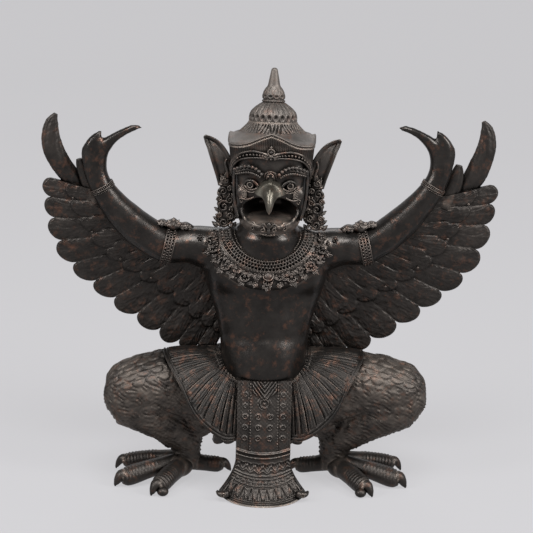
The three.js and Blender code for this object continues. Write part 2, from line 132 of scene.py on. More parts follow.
def tube(grid):
    """A closed shape from rings of points, with a point in the middle of each end."""
    rows, columns, _ = grid.shape
    points = np.vstack([grid.reshape(-1, 3), grid[0].mean(axis=0), grid[-1].mean(axis=0)])
    ring = np.arange(columns)
    after = (ring + 1) % columns
    last = (rows - 1) * columns
    first_pole = np.full(columns, rows * columns)
    start = np.stack([after, ring, first_pole], axis=-1)
    end = np.stack([last + ring, last + after, first_pole + 1], axis=-1)
    return points, [strip_faces(rows, columns, True), start, end]


def hoop(grid):
    """A closed shape from rings of points, the last of which meets the first."""
    rows, columns, _ = grid.shape
    ring = np.arange(columns)
    after = np.roll(ring, -1)
    last = (rows - 1) * columns
    closing = np.stack([last + ring, last + after, after, ring], axis=-1)
    return grid.reshape(-1, 3), [strip_faces(rows, columns, True), closing]


def slab(front, back):
    """A closed shape between two grids of the same size."""
    rows, columns, _ = front.shape
    count = rows * columns
    faces = strip_faces(rows, columns, False)
    edge = edge_loop(rows, columns)
    after = np.roll(edge, -1)
    sides = np.stack([after, edge, edge + count, after + count], axis=-1)
    points = np.vstack([front.reshape(-1, 3), back.reshape(-1, 3)])
    return points, [faces[:, ::-1], faces + count, sides]


def relief_slab(front, back):
    """A closed shape between a fine grid and one with half as many steps each way."""
    rows, columns, _ = front.shape
    count = rows * columns
    fine = edge_loop(rows, columns)
    coarse = edge_loop(*back.shape[:2]) + count
    here, middle, after = fine[0::2], fine[1::2], np.roll(fine[0::2], -1)
    coarse_after = np.roll(coarse, -1)
    sides = np.concatenate([
        np.stack([middle, here, coarse], axis=-1),
        np.stack([after, middle, coarse_after], axis=-1),
        np.stack([middle, coarse, coarse_after], axis=-1),
    ])
    points = np.vstack([front.reshape(-1, 3), back.reshape(-1, 3)])
    near = strip_faces(rows, columns, False)[:, ::-1]
    far = strip_faces(*back.shape[:2], False) + count
    return points, [near, far, sides]


def outward(shape):
    """The shape with its faces turned to point out."""
    points, faces = shape
    total = 0.0
    for part in faces:
        for k in range(1, part.shape[1] - 1):
            a, b, c = points[part[:, 0]], points[part[:, k]], points[part[:, k + 1]]
            total += np.einsum("ij,ij->i", a, np.cross(b, c)).sum()
    return shape if total > 0 else (points, [part[:, ::-1] for part in faces])


def moved(shape, change):
    """The shape with its points changed."""
    points, faces = shape
    return change(points.copy()), faces


def mirrored(shape):
    """The shape on the other side of the centre line."""
    return moved(shape, lambda points: points * [-1, 1, 1])


def pair(shapes):
    """Shapes for one side and the same for the other."""
    return [*shapes, *map(mirrored, shapes)]


def with_relief(grid, path, height):
    """Rings of points moved out from the path they lie round."""
    normal = grid_normals(grid, wrap=True)
    sign = np.sign(np.einsum("ijk,ijk->ij", normal, grid - path[:, None]).sum())
    return grid + sign * normal * height[..., None]


def loft(stations, around=40, step=1.2, power=2.0, face=(0, -1, 0), relief=None, under=1.0):
    """A closed form through stations [x, y, z, half width, half depth].

    relief(length, angle, along) gives how far the surface stands out. Its length is in mm from the start, its
    angle goes round the section with a quarter turn at the face, and along is the share of stations passed.
    under is the depth of the side away from the face, as a share of the other side's.
    """
    stations = np.asarray(stations, float)
    length = np.linalg.norm(np.diff(stations[:, :3], axis=0), axis=1).sum()
    rows = max(int(length / step), 2 * len(stations)) + 1
    t = np.linspace(0, 1, rows)
    data = spline(stations, t)
    path, wide, deep = data[:, :3], data[:, 3], data[:, 4]
    ahead = spline(stations, np.minimum(t + 0.01, 1))[:, :3]
    behind = spline(stations, np.maximum(t - 0.01, 0))[:, :3]
    tangent = unit(ahead - behind)
    facing = unit(np.asarray(face, float))
    depth = unit(facing - (tangent @ facing)[:, None] * tangent)
    width = np.cross(depth, tangent)
    angle = full_turn(around)
    across = rounded(np.cos(angle), power)[None, :, None] * wide[:, None, None]
    rise = rounded(np.sin(angle), power)
    out = np.where(rise < 0, under * rise, rise)[None, :, None] * deep[:, None, None]
    grid = path[:, None] + width[:, None] * across + depth[:, None] * out
    if relief is not None:
        gone = np.concatenate([[0], np.cumsum(np.linalg.norm(np.diff(path, axis=0), axis=1))])
        height = relief(gone[:, None], angle[None, :], t[:, None]) * np.ones(grid.shape[:2])
        grid = with_relief(grid, path, height)
    return tube(grid)


def ball(centre, radii, around=12, along=7):
    """A round form with its three half sizes, in rings from its top."""
    polar = np.linspace(0, math.pi, along + 2)[1:-1]
    angle = full_turn(around)
    ring = np.stack([np.cos(angle), np.sin(angle), np.zeros(around)], axis=-1)
    grid = np.sin(polar)[:, None, None] * ring + np.cos(polar)[:, None, None] * np.array([0, 0, 1.0])
    points, faces = tube(grid)
    points[-2:] = [[0, 0, 1], [0, 0, -1]]
    return points * np.asarray(radii, float) + np.asarray(centre, float), faces


def round_crown(angle, radius, level):
    """Places about the crown's axis, at angles from the front."""
    x, y = radius * np.sin(angle), CROWN_Y - radius * np.cos(angle)
    return np.stack(np.broadcast_arrays(x, y, level), axis=-1)


def turned(profile, rows, around, relief):
    """A form turned about the crown's axis through a curve of radius and height, with its carving."""
    points = spline(profile, np.linspace(0, 1, rows))
    height = points[:, 1:]
    angle = full_turn(around)
    return tube(round_crown(angle, points[:, :1] + relief(height, angle), height))


def cord(points, radius, around=7):
    """A round cord through points [x, y, z]."""
    return loft([[*point, radius, radius] for point in points], around=around)


def scalloped(points, radius, count, depth):
    """A cord with even swellings along it, like a string of beads."""
    def swell(length, angle, along):
        return depth * np.abs(np.sin(math.pi * count * along)) - depth * 0.5
    return loft([[*point, radius, radius] for point in points], around=8, step=0.5, relief=swell)


def placed(shape, spot, normal, up):
    """A flat-drawn shape set on a place of a surface."""
    out = unit(np.asarray(normal, float))
    upright = unit(np.asarray(up, float) - np.dot(up, out) * out)
    right = np.cross(upright, out)
    turn = np.stack([right, upright, out])
    return moved(shape, lambda points: points @ turn + np.asarray(spot, float))


# Ornaments, drawn flat with x to the right, y up and z off the surface

def leaf(length, width, height):
    """A pointed leaf with a raised rim and a midrib, its point up."""
    v = np.linspace(0, 1, 6)[:, None]
    u = np.linspace(-1, 1, 5)[None, :]
    half = width * np.sin(math.pi * np.clip(v, 0.03, 0.985) ** 0.75) ** 0.8 * (1 - 0.25 * v)
    x = u * half
    y = v * length + 0 * u
    z = height * (1 - u**4) * (0.55 + 0.45 * bump(u, 0.25)) * (1 - 0.5 * v**1.4)
    front = np.stack([x, y, z], axis=-1)
    back = np.stack([x, y, 0 * z - height * 0.8], axis=-1)
    return slab(front, back)


def leaf_group(size):
    """Three leaves from one root, the middle one up."""
    shapes = [leaf(size, size * 0.34, size * 0.26)]
    for lean in (-0.8, 0.8):
        way = [math.sin(lean), math.cos(lean), 0]
        shapes.append(placed(leaf(size * 0.78, size * 0.3, size * 0.22), [0, 0, 0], [0, 0, 1], way))
    shapes.append(ball([0, 0.1 * size, 0.25 * size], [0.2 * size] * 3, 8, 5))
    return shapes


def rosette(petals, size):
    """A round boss with a ring of petals."""
    shapes = [ball([0, 0, 0.4 * size], [size * 0.42, size * 0.42, size * 0.5], 12, 7)]
    for angle in full_turn(petals):
        spot = [size * 0.72 * math.cos(angle), size * 0.72 * math.sin(angle), 0.1 * size]
        shapes.append(ball(spot, [size * 0.3, size * 0.3, size * 0.34], 8, 5))
    return shapes


def petal_ring(radius, thick):
    """A round cord that closes on itself."""
    turns = np.linspace(0, 2 * math.pi, 17)
    stations = [[radius * math.cos(a), radius * math.sin(a), 0.2, thick, thick] for a in turns]
    return loft(stations, around=6, face=(0, 0, 1))


def ringed_rosette(size):
    """A rosette of thick petals in a low round cord."""
    return [*rosette(7, size * 1.08), petal_ring(size * 1.02, 0.24 * size)]


def spiral(centre, radius, thick, turns, start, hand, normal=(0, -1, 0)):
    """A curl that winds into its centre, laid on a surface."""
    stations = []
    for share in np.linspace(0, 1, 9):
        angle = start + hand * 2 * math.pi * turns * share
        reach = radius * (1 - 0.86 * share)
        half = thick * (1 - 0.4 * share)
        stations.append([reach * math.cos(angle), reach * math.sin(angle), 0.15, half, half])
    shape = loft(stations, around=6, step=0.9, face=(0, 0, 1))
    return placed(shape, centre, normal, (0, 0, 1))


# Pieces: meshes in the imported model's frame

def mesh_of(name, shapes):
    """A mesh in metres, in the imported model's frame, of shapes whose faces point out."""
    points, faces, count = [], [], 0
    for shape in map(outward, shapes):
        points.append(shape[0])
        for part in shape[1]:
            faces.extend((part + count).tolist())
        count += len(shape[0])
    mesh = bpy.data.meshes.new(name)
    mesh.from_pydata(((np.vstack(points) + FRAME_SHIFT) * TO_METRES).tolist(), [], faces)
    mesh.update()
    return mesh


def linked(name, data):
    """An object of a mesh, a light or a camera, put in the scene."""
    item = bpy.data.objects.new(name, data)
    bpy.context.scene.collection.objects.link(item)
    return item


def settle(item):
    """Puts the result of an object's modifiers in its mesh."""
    depsgraph = bpy.context.evaluated_depsgraph_get()
    result = bpy.data.meshes.new_from_object(item.evaluated_get(depsgraph))
    item.modifiers.clear()
    item.data = result
    return item


def melted(item, voxel):
    """Turns an object's closed shapes into one even skin."""
    skin = item.modifiers.new("skin", "REMESH")
    skin.mode = "VOXEL"
    skin.voxel_size = voxel * TO_METRES
    return settle(item)


def fused(name, shapes, voxel, cuts=()):
    """Closed shapes melted into one skin, less the cuts, with rounded seams where they meet."""
    item = melted(linked(name, mesh_of(name, shapes)), voxel)
    for cut in cuts:
        tool = linked("cut", mesh_of("cut", [cut]))
        difference = item.modifiers.new("cut", "BOOLEAN")
        difference.operation = "DIFFERENCE"
        difference.solver = "MANIFOLD"
        difference.object = tool
        settle(item)
        bpy.data.objects.remove(tool)
    if cuts:
        melted(item, voxel)
    soften = item.modifiers.new("soften", "SMOOTH")
    soften.factor = 0.5
    soften.iterations = SOFTEN_STEPS
    return settle(item)


def reshaped(item, change):
    """Moves a mesh's points: change takes them and their normals, in drawn millimetres."""
    count = len(item.data.vertices)
    points, normals = np.empty(count * 3), np.empty(count * 3)
    item.data.vertices.foreach_get("co", points)
    item.data.vertices.foreach_get("normal", normals)
    points = change(points.reshape(-1, 3) * TO_MILLIMETRES - FRAME_SHIFT, normals.reshape(-1, 3))
    item.data.vertices.foreach_set("co", ((points + FRAME_SHIFT) * TO_METRES).ravel())
    item.data.update()
    return item


def finished(item, material):
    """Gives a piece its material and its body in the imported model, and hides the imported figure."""
    item.data.materials.clear()
    item.data.materials.append(material)
    item.data.polygons.foreach_set("use_smooth", [True] * len(item.data.polygons))
    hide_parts("garuda_figure")
    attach(item, "root")
    return item


def piece(name, shapes, material):
    """A finished mesh of closed shapes."""
    return finished(linked(name, mesh_of(name, shapes)), material)


# How the forms of the figure lean

def head_place(points):
    """The head and its crown are turned a little and stand a little towards +X."""
    x, y = points[:, 0].copy(), points[:, 1] - CROWN_Y
    points[:, 0] = x * math.cos(HEAD_TURN) - y * math.sin(HEAD_TURN) + HEAD_SHIFT
    points[:, 1] = x * math.sin(HEAD_TURN) + y * math.cos(HEAD_TURN) + CROWN_Y
    return points


def swayed(shape, sway):
    """The shape with its outer parts moved towards +X, and less so high up."""
    def change(points):
        out = smooth((np.abs(points[:, 0]) - 60) / 60)
        above = smooth((points[:, 2] - 280) / 30)
        points[:, 0] += sway * out * (1 - 0.7 * above)
        return points
    return moved(shape, change)


def raised(shape):
    """The hand end of each arm, where the +X hand stands higher than the other."""
    def change(points):
        along = smooth((np.abs(points[:, 0]) - 70) / 80)
        points[:, 2] += HAND_RISE * along * np.sign(points[:, 0])
        return points
    return moved(shape, change)


def dropped(shape):
    """A wing whose lower feathers hang a little deeper."""
    def change(points):
        points[:, 2] -= FEATHER_DROP * smooth((262 - points[:, 2]) / 70)
        return points
    return moved(shape, change)


# Torso, arms and hands

BODY_VOXEL = 2.0
ARM = [
    [36, -2, 220, 22, 22], [54, -3, 224, 19.5, 20], [70, -4, 227, 17, 18], [89.5, -5, 226.5, 15.6, 15.6],
    [105, -5, 235, 15.6, 15.2], [121.4, -5, 248, 15, 14.5], [137.5, -5, 265.2, 12.6, 12.2],
    [149.1, -5, 282, 10.4, 9.4], [154, -5, 294, 10.2, 8], [155.4, -5, 304, 10.8, 7.4],
    [155, -5, 314, 11.8, 6.4], [150, -5, 322, 8, 5],
]
UNDERARM_GROOVE = 2.42


def torso():
    """The trunk, whose front has the chest, the belly and the soft lines between them, and the throat."""
    def muscles(length, angle, along):
        z = 92 + length
        front = angle - math.pi / 2
        chest = 6.4 * (bump(front - 0.7, 0.42) + bump(front + 0.7, 0.42)) * bump(z - 206, 13)
        breast_line = -1.8 * (bump(front - 0.62, 0.6) + bump(front + 0.62, 0.6)) * bump(z - 187, 5.5)
        belly = 3.0 * bump(front, 0.8) * bump(z - 124, 24)
        ribs = 2.8 * bump(front, 0.7) * bump(z - 164, 11)
        waist = -0.8 * bump(z - 147, 4.5) * bump(front, 0.8)
        middle = -0.9 * bump(front, 0.11) * smooth((z - 140) / 10) * smooth((208 - z) / 10)
        return chest + breast_line + belly + ribs + waist + middle
    trunk = loft(
        [[0, 2, 92, 41, 31], [0, -5, 110, 38.6, 34.4], [0, -6, 124, 39.2, 34], [0, -4, 146, 41, 32],
         [0, -3, 168, 46.5, 31], [0, -3, 190, 53.5, 32], [0, -2, 212, 57.5, 31.5], [0, -1, 227, 57, 27],
         [0, 0, 235.5, 45, 20], [0, -2, 239.5, 24, 15]],
        around=160, power=2.15, relief=muscles)
    throat = loft(
        [[0, -4, 214, 34, 28], [0, -8, 226, 35, 32.6], [0, -9, 234, 33, 32.6], [0, -10, 240, 31, 31.6],
         [0, -10, 243.5, 29.4, 30], [0, -10, 247, 26.4, 28.4], [0, -10, 254, 24.2, 26.5],
         [0, -10, 260, 20, 20]],
        around=96)
    return [trunk, throat]


def arm():
    """An arm with its groove underneath, and the long finger and the thumb of its curved hand."""
    def groove(length, angle, along):
        ends = smooth((along - 0.2) / 0.1) * smooth((0.62 - along) / 0.1)
        return -1.1 * bump(angle - UNDERARM_GROOVE, 0.13) * ends
    limb = loft(ARM, around=96, step=1, relief=groove)
    long_finger = loft(
        [[152, -5, 312, 8, 5.6], [146, -6, 320, 6.2, 5], [138, -7, 327.2, 4.4, 4.2],
         [127.5, -7, 333.4, 3.3, 3.6], [119.5, -6, 336, 2.5, 2.8], [113.4, -5, 335.7, 0.8, 1]],
        around=32, step=0.8)
    thumb = loft(
        [[159, -5, 311, 7.6, 5.8], [158.6, -6, 320.5, 5.2, 5], [154, -6, 327.6, 3.7, 3.8],
         [148.6, -6, 333.6, 1.3, 1.4]],
        around=32, step=0.8)
    return [limb, long_finger, thumb]


def body_piece(material):
    """The trunk, neck and arms, with the faint hollows and ripples of a hand-finished casting."""
    def worked(points, normals):
        height = 0.14 * ripple(points, 23, 31) + 0.05 * ripple(points, 9, 32)
        return points + normals * height[:, None]
    shapes = [*torso(), *map(raised, pair(arm()))]
    finished(reshaped(fused("body", shapes, BODY_VOXEL), worked), material)


# Arm ornaments, at the arm's stations

ARMLET = 3
BRACELET = 7


def arm_section(at, offset, angle):
    """The middle, the way along and the ways out of the arm's section, at a count of its stations."""
    t = at / (len(ARM) - 1)
    ahead = spline(ARM, min(t + 0.01, 1))[0] - spline(ARM, max(t - 0.01, 0))[0]
    way = unit(ahead[:3])
    facing = unit(np.array([0, -1.0, 0]) + way[1] * way)
    side = np.cross(facing, way)
    *middle, wide, deep = spline(ARM, t)[0]
    out = side * np.cos(angle)[:, None] * wide + facing * np.sin(angle)[:, None] * deep
    return np.array(middle) + way * offset, way, out


def arm_ring(at, offset, proud, radius):
    """A thin cord round the arm."""
    middle, way, out = arm_section(at, offset, full_turn(60))
    ring = unit(out)
    tilt = full_turn(8)[:, None, None]
    section = (np.cos(tilt) * ring + np.sin(tilt) * way) * radius
    return hoop((middle + out + ring * proud) + section)


def arm_beads(at, offset, proud, size, count):
    """A ring of beads round the arm."""
    middle, _, out = arm_section(at, offset, full_turn(count))
    return [ball(spot, [size] * 3, 6, 4) for spot in middle + out + unit(out) * proud]


def armlet_rosette():
    """The three-lobed leaf ornament that stands on the arm over its armlet."""
    shapes = [loft(
        [[66.5, -5, 243.6, 1, 2], [73, -5, 244.6, 3.4, 6], [78.4, -5, 245, 2.8, 5.4],
         [84.8, -5, 245.6, 6.2, 8.5], [91, -5, 247, 2.8, 5.4], [95, -5, 247.8, 3.4, 6],
         [100, -5, 248.6, 1, 2]],
        around=24)]
    for x, z, size, lean in ((73, 247, 4.6, -0.5), (84.8, 250.4, 6.4, 0.08), (95, 250.6, 4.6, 0.6)):
        for part in range(-2, 3):
            spread = part * 0.55
            petal = leaf(size * (1.1 - 0.12 * abs(part)), size * 0.36, 0.8)
            way = [math.sin(spread + lean * 0.4), -0.35, math.cos(spread)]
            spot = [x + 0.4 * size * math.sin(spread), -10.5, z - 3.4]
            shapes.append(placed(petal, spot, [0.1, -1, 0.5], way))
        shapes.append(ball([x, -12.4, z - 3.0], [1.7, 1.4, 1.7]))
    return shapes


def arm_ornaments():
    """The armlets, the bracelets and the small rosettes on the shoulders."""
    shapes = armlet_rosette()
    shapes += [arm_ring(ARMLET, offset, 1.0, 0.75) for offset in (-4.2, -1.4, 1.4, 4.2)]
    shapes += [arm_ring(BRACELET, offset, 0.5, 0.7) for offset in (-1.4, 1.2)]
    for at, offset, proud, size, count in (
            (ARMLET, -2.8, 1.2, 1.15, 34), (ARMLET, 2.8, 1.2, 1.15, 34), (ARMLET, 0, 1.0, 1.0, 40),
            (BRACELET, -3.2, 0.4, 0.7, 40), (BRACELET, -0.1, 0.5, 0.7, 40)):
        shapes += arm_beads(at, offset, proud, size, count)
    for size, x, z in ((3.0, 60.5, 238), (2.2, 57, 231)):
        shapes += [placed(part, [x, -19.5, z], [0.2, -1, 0.55], [0, 0, 1]) for part in rosette(6, size)]
    return list(map(raised, pair(shapes)))


# Wings

FEATHER_ROOTS = [[152, 3, 274], [126, 5, 247], [100, 8, 231], [74, 11, 222], [50, 14, 210], [34, 18, 184],
                 [28, 19, 156]]
FEATHER_TIPS = [[204.6, 9, 294], [206.8, 9, 276.6], [205.2, 9, 257.4], [202, 10, 236.3], [193.5, 11, 212.7],
                [176.2, 12, 191.6], [157.6, 14, 174.6], [138, 16, 157.4], [115.4, 18, 140.6], [93.2, 19, 126],
                [73, 20, 119], [55, 20, 117], [38, 20, 115]]
COVERT_TIPS = [[186, 8, 288], [181, 8, 272], [172, 8, 252], [161, 9, 234], [146, 10, 219], [129, 10, 204],
               [112, 12, 194], [96, 14, 184], [80, 16, 168], [64, 17, 154], [48, 18, 142]]
SHORT_TIPS = [[178, 6, 284], [171, 6, 268], [160, 6, 254], [149, 6, 237], [136, 7, 223], [122, 8, 213],
              [106, 9, 203], [91, 11, 192], [75, 13, 178], [60, 15, 164], [46, 16, 152]]
LONG_FEATHERS = 11
COVERTS = 12
SHORT_FEATHERS = 13
WING_ROWS = 81
WING_COLUMNS = 309
BARB_PITCH = 2.1


def long_tips():
    """The long feathers' tips, from the first to the last feather's edge."""
    share = np.linspace(0.5, LONG_FEATHERS + 0.5, 23) / (LONG_FEATHERS + 1)
    return spline(FEATHER_TIPS, share)


def horn_feather():
    """The long feather that stands up beside the hand like a horn."""
    stations = [[168, 10, 262, 7, 4], [179, 9, 282, 9, 4.2], [188, 7, 297, 9.6, 4.4],
                [194.3, 5.5, 312, 9.2, 4], [196, 5, 326, 7.6, 3.4], [194.6, 5, 336.5, 5.2, 2.8],
                [191.4, 5, 343.2, 1.8, 1.4]]

    def relief(length, angle, along):
        strokes = 0.3 * np.sin(angle * 9 + length * 0.16 + 0.5 * np.sin(length * 0.3))
        pits = 0.15 * np.sin(length * 1.3 + angle * 6) * np.sin(length * 0.37)
        return (strokes + pits) * smooth((0.93 - along) / 0.1)
    return loft(stations, around=44, step=1.3, relief=relief)


def stub_feather():
    """The short grooved feather between the horn and the hand."""
    stations = [[158, 4, 262, 9, 4.5], [165.6, 4, 284, 7.2, 4], [169.6, 3.5, 297, 5.2, 3],
                [171, 3, 303, 3, 2]]

    def grooves(length, angle, along):
        front = smooth(np.sin(angle) / 0.3)
        return -0.9 * bump(np.sin(angle * 1.5), 0.25) * smooth((0.97 - along) / 0.1) * front
    return loft(stations, around=36, step=1.3, relief=grooves)


def tip_round(edge):
    """How far a feather's tip falls back towards its sides, as a share of its half width."""
    return 0.15 * edge**2 + 0.6 * (1 - np.sqrt(np.clip(1 - edge**2, 0, 1)))


def row_height(share, count, distance, length, tip_width, seed, soft=1.6):
    """The carving of a row of lapping feathers, and how much of it there is short of the tips.

    share is the place along the row, distance the way from the roots, and length the way to the tips.
    """
    place = share * count
    number = np.minimum(np.floor(place), count - 1)
    edge = np.clip(2 * (place - number) - 1, -1, 1)
    half = tip_width / 2 * (0.45 + 0.55 * np.clip(distance / length, 0, 1))
    side = edge * half
    left = length - tip_width / 2 * tip_round(edge) - distance
    inside = smooth(left / soft + 0.3)
    rise = 0.25 + 0.75 * smooth((distance / length - 0.3) / 0.6)
    vane = 0.8 * (1 - edge**2) - 0.6 * edge - 0.4 * np.abs(edge) ** 8
    shaft = 0.3 * bump(side + 0.2 * tip_width * (1 - rise), 0.7)
    wander = 0.5 * np.sin(distance * 0.21 + number * 2.4 + seed) + 0.35 * np.sin(side * 0.9 + distance * 0.11)
    phase = (np.abs(side) - 0.34 * distance) / BARB_PITCH + wander
    worn = 0.6 + 0.4 * np.sin(distance * 0.16 + number * 1.7) * np.sin(side * 0.5 + number)
    barbs = 0.34 * np.sin(2 * math.pi * phase) * worn * smooth(np.abs(side) / 1.2)
    rim = 0.35 * bump(left - 1.7, 1.0)
    return (vane * rise + shaft + barbs + rim) * inside, inside


def wing_grid(rows, columns):
    """Places over the wing from the roots to the tips, with their shares and ways from the roots."""
    share = np.linspace(0, 1, columns)
    tips = long_tips()
    root, tip = spline(FEATHER_ROOTS, share), spline(tips, share)
    length = np.linalg.norm(tip - root, axis=1)
    edge = np.clip(2 * ((share * LONG_FEATHERS) % 1.0) - 1, -1, 1)
    edge[-1] = 1
    width = np.linalg.norm(np.diff(spline(tips, np.linspace(0, 1, LONG_FEATHERS + 1)), axis=0), axis=1)
    tip_width = spline(np.repeat(width[:, None], 3, axis=1), share)[:, 0]
    reach = length - tip_width / 2 * tip_round(edge)
    distance = np.linspace(0, 1, rows)[:, None] * reach[None, :]
    grid = root[None] + (tip - root)[None] * (distance / length[None, :])[..., None]
    return grid, share, root, distance, length, tip_width


def wing_plate():
    """The wing's plate, with its long feathers, coverts and short feathers in low relief."""
    grid, share, root, distance, length, tip_width = wing_grid(WING_ROWS, WING_COLUMNS)
    height, _ = row_height(share, LONG_FEATHERS, distance, length, tip_width, 0.0)
    for tips, count, lift, seed in ((COVERT_TIPS, COVERTS, 1.9, 2.0), (SHORT_TIPS, SHORT_FEATHERS, 2.0, 4.0)):
        shorter = np.linalg.norm(spline(tips, share) - root, axis=1)
        carving, inside = row_height(share, count, distance, shorter, tip_width * 0.85, seed, soft=2.8)
        height = height * (1 - inside) + inside * lift + carving
    near_rim = distance / distance[-1:]
    rounding = 1.6 * (1 - smooth((1 - near_rim) * distance[-1:] / 2.2))
    uneven = 0.5 * ripple(grid, 26, 5) + 0.16 * ripple(grid, 6, 6)
    forward = 3.0 + uneven + height - rounding
    front = grid + np.array([0, -1.0, 0]) * forward[..., None]
    coarse, share, _, distance, length, tip_width = wing_grid(WING_ROWS // 2 + 1, WING_COLUMNS // 2 + 1)
    carving, _ = row_height(share, LONG_FEATHERS, distance, length, tip_width, 1.0)
    thick = 6.6 * (1 - 0.52 * distance / length) - 3.0
    rear = thick + 0.7 * carving
    back = coarse + np.array([0, 1.0, 0]) * np.maximum(rear, -0.8)[..., None]
    return relief_slab(front, back)


def wing():
    """A wing: its plate, knobs at a few coverts' tips, and the horn and stub that stand up by the hand."""
    middles = spline(COVERT_TIPS, (np.arange(COVERTS) + 0.5) / COVERTS)
    knobs = [ball([x, y - 6.8, z], [1.3, 0.91, 1.3]) for x, y, z in middles[1:8:2]]
    return [wing_plate(), *knobs, horn_feather(), stub_feather()]


# Legs and feet

LEG_VOXEL = 1.05
CLAW = 10.0
SCALE_ROW = 7.6
SCALE_WIDE = 11.4
THIGH_AXIS = np.array([[24, 8, 85], [50, 5, 88.5], [76, -2, 92], [100, -10, 95.5], [120, -17, 95],
                       [136, -21, 94], [147, -23, 93.3]])


def leg_forms():
    """A leg's thigh, calf, knee, the fold over the calf and the inner thigh."""
    face = (0.2, -1, 0)
    thigh = loft(
        [[42, 5.6, 87.6, 36, 34], [50, 5, 88.5, 36.5, 34], [76, -2, 92, 34.5, 33],
         [100, -10, 95.5, 29.2, 29.5], [120, -17, 95, 26.6, 27], [136, -21, 94, 20.5, 22],
         [143, -22.6, 93.6, 12.5, 14.5], [146.6, -23.4, 93.3, 4, 5]],
        around=90, step=2, face=face)
    calf = loft(
        [[142.4, -22, 92, 5, 6], [136, -21, 86, 14, 15], [127.5, -20, 81, 21, 21.5],
         [108.5, -14, 70.4, 22, 22.5], [88.5, -6, 56.6, 20.8, 21.5], [73, 0, 39, 18.4, 17.5],
         [70, 1, 27, 14, 14], [70, 0, 8, 12.5, 12.5]],
        around=90, step=2, face=face)
    knee = ball([124.4, -21, 87.5], [24.2, 22, 25], 60, 40)
    fold = ball([114, -17, 81], [33, 23, 15], 60, 40)
    inner = ball([60, 0, 66], [20, 20, 28], 60, 40)
    return [thigh, calf, knee, fold, inner]


def toe(start, knuckle, end, claw_way):
    """A ringed toe from the ankle, with its hooked claw: places are [x, y, z, radius]."""
    x, y, z, radius = end
    way = unit(np.array([*claw_way, 0.0]))
    stations = [[*place, place[3]] for place in (start, knuckle, end)]
    tip = [x + way[0] * radius * 0.55, y + way[1] * radius * 0.55, z * 0.92, radius * 0.66, radius * 0.66]

    def folds(length, angle, along):
        top = smooth((np.sin(angle) + 0.4) / 0.6)
        return np.abs(np.sin(math.pi * length / 3.1)) * top * smooth((along - 0.25) / 0.1) - 0.3
    finger = loft([*stations, tip], around=26, step=0.8, face=(0, 0, 1), relief=folds)
    bends = ((0.0, z + radius * 0.2, 0.78), (0.42, z + radius * 0.32, 0.66), (0.74, z * 0.92, 0.5),
             (0.94, z * 0.5, 0.32), (1.04, 2.4, 0.18), (1.06, 0.9, 0.06))
    nail = [[x + way[0] * CLAW * reach, y + way[1] * CLAW * reach, height, radius * size, radius * size]
            for reach, height, size in bends]
    return [finger, loft(nail, around=14, step=0.9, face=(-way[1], way[0], 0))]


def foot():
    """A foot with three toes in front and one behind, its ankle and a low knob at the front."""
    return [
        *toe([72, -3, 15, 9.5], [100, -17, 13.5, 8.4], [125, -27, 8.4, 8.4], [12, -4]),
        *toe([72, 2, 16, 8.5], [100, 8, 13.5, 7.2], [125, 10, 9, 6.8], [14, 1.5]),
        *toe([71, -3, 15, 10], [84, -26, 11, 9], [94, -44, 7.8, 7.8], [9, -9]),
        *toe([68, 0, 15, 9.5], [52, 4, 10, 7.6], [38, 6, 7.6, 7], [-12, 1]),
        ball([77, -8, 12.5], [14, 14, 10.5], 40, 20),
        ball([91, -50, 4.6], [5.4, 5.4, 4.4], 20, 12),
    ]


def shingles(along, down):
    """Height of rows of round-ended scales that lap one over the next, from places along and down them."""
    row = np.floor(down / SCALE_ROW)
    t = down / SCALE_ROW - row
    above = (along / SCALE_WIDE + 0.5 * ((row - 1) % 2)) % 1.0 * 2 - 1
    tip = 0.05 + 0.8 * np.sqrt(np.clip(1 - above**2, 0, 1))
    covered = smooth((tip - t) / 0.08 + 0.5)
    over = 0.75 + 0.25 * t - 0.2 * above**6
    under = 0.45 * t
    return covered * over + (1 - covered) * under


def leg_carving(points, normals):
    """The scales over the thigh and the rough combed strokes over the rest of the leg."""
    x, y, z = np.abs(points[:, 0]), points[:, 1], points[:, 2]
    axis_y, axis_z = (np.interp(x, THIGH_AXIS[:, 0], THIGH_AXIS[:, k]) for k in (1, 2))
    turn = np.arctan2(z - axis_z, axis_y - y)
    down = (math.pi / 2 - turn) * 29 + 0.2 * (150 - x) + 0.5 * ripple(points, 26, 11)
    along = x + 0.15 * down + 0.5 * ripple(points, 23, 12)
    scaled = smooth((turn - 0.33 + 0.14 * ripple(points, 24, 13)) / 0.12) * smooth((x - 84) / 5)
    scaled = scaled * smooth((2.9 - turn) / 0.3) * smooth((z - 88) / 5)
    worn = np.clip(0.9 + 0.25 * ripple(points, 21, 14), 0.4, 1.15)
    scales = 2.3 * shingles(along, down) * worn - 1.2
    slant = points @ unit(np.array([0.45, 0.3, 0.84])) * np.sign(points[:, 0] + 1e-6)
    slant = slant + 1.2 * ripple(points, 20, 15)
    strokes = 0.75 * np.sin(2 * math.pi * slant / 3.2) * np.clip(0.4 + 0.8 * ripple(points, 10, 16), 0, 1)
    rough = 0.26 * ripple(points, 4.2, 17) + 0.34 * ripple(points, 10, 18)
    above_ankle = smooth((z - 8) / 20)
    height = scaled * (scales + 0.12 * rough) + (1 - scaled) * (strokes + rough) * above_ankle
    return points + normals * height[:, None]


def legs(material):
    for name, shapes in (("leg_right", leg_forms()), ("leg_left", map(mirrored, leg_forms()))):
        skin = fused(name, [swayed(shape, KNEE_SWAY) for shape in shapes], LEG_VOXEL)
        finished(reshaped(skin, leg_carving), material)


# Skirt

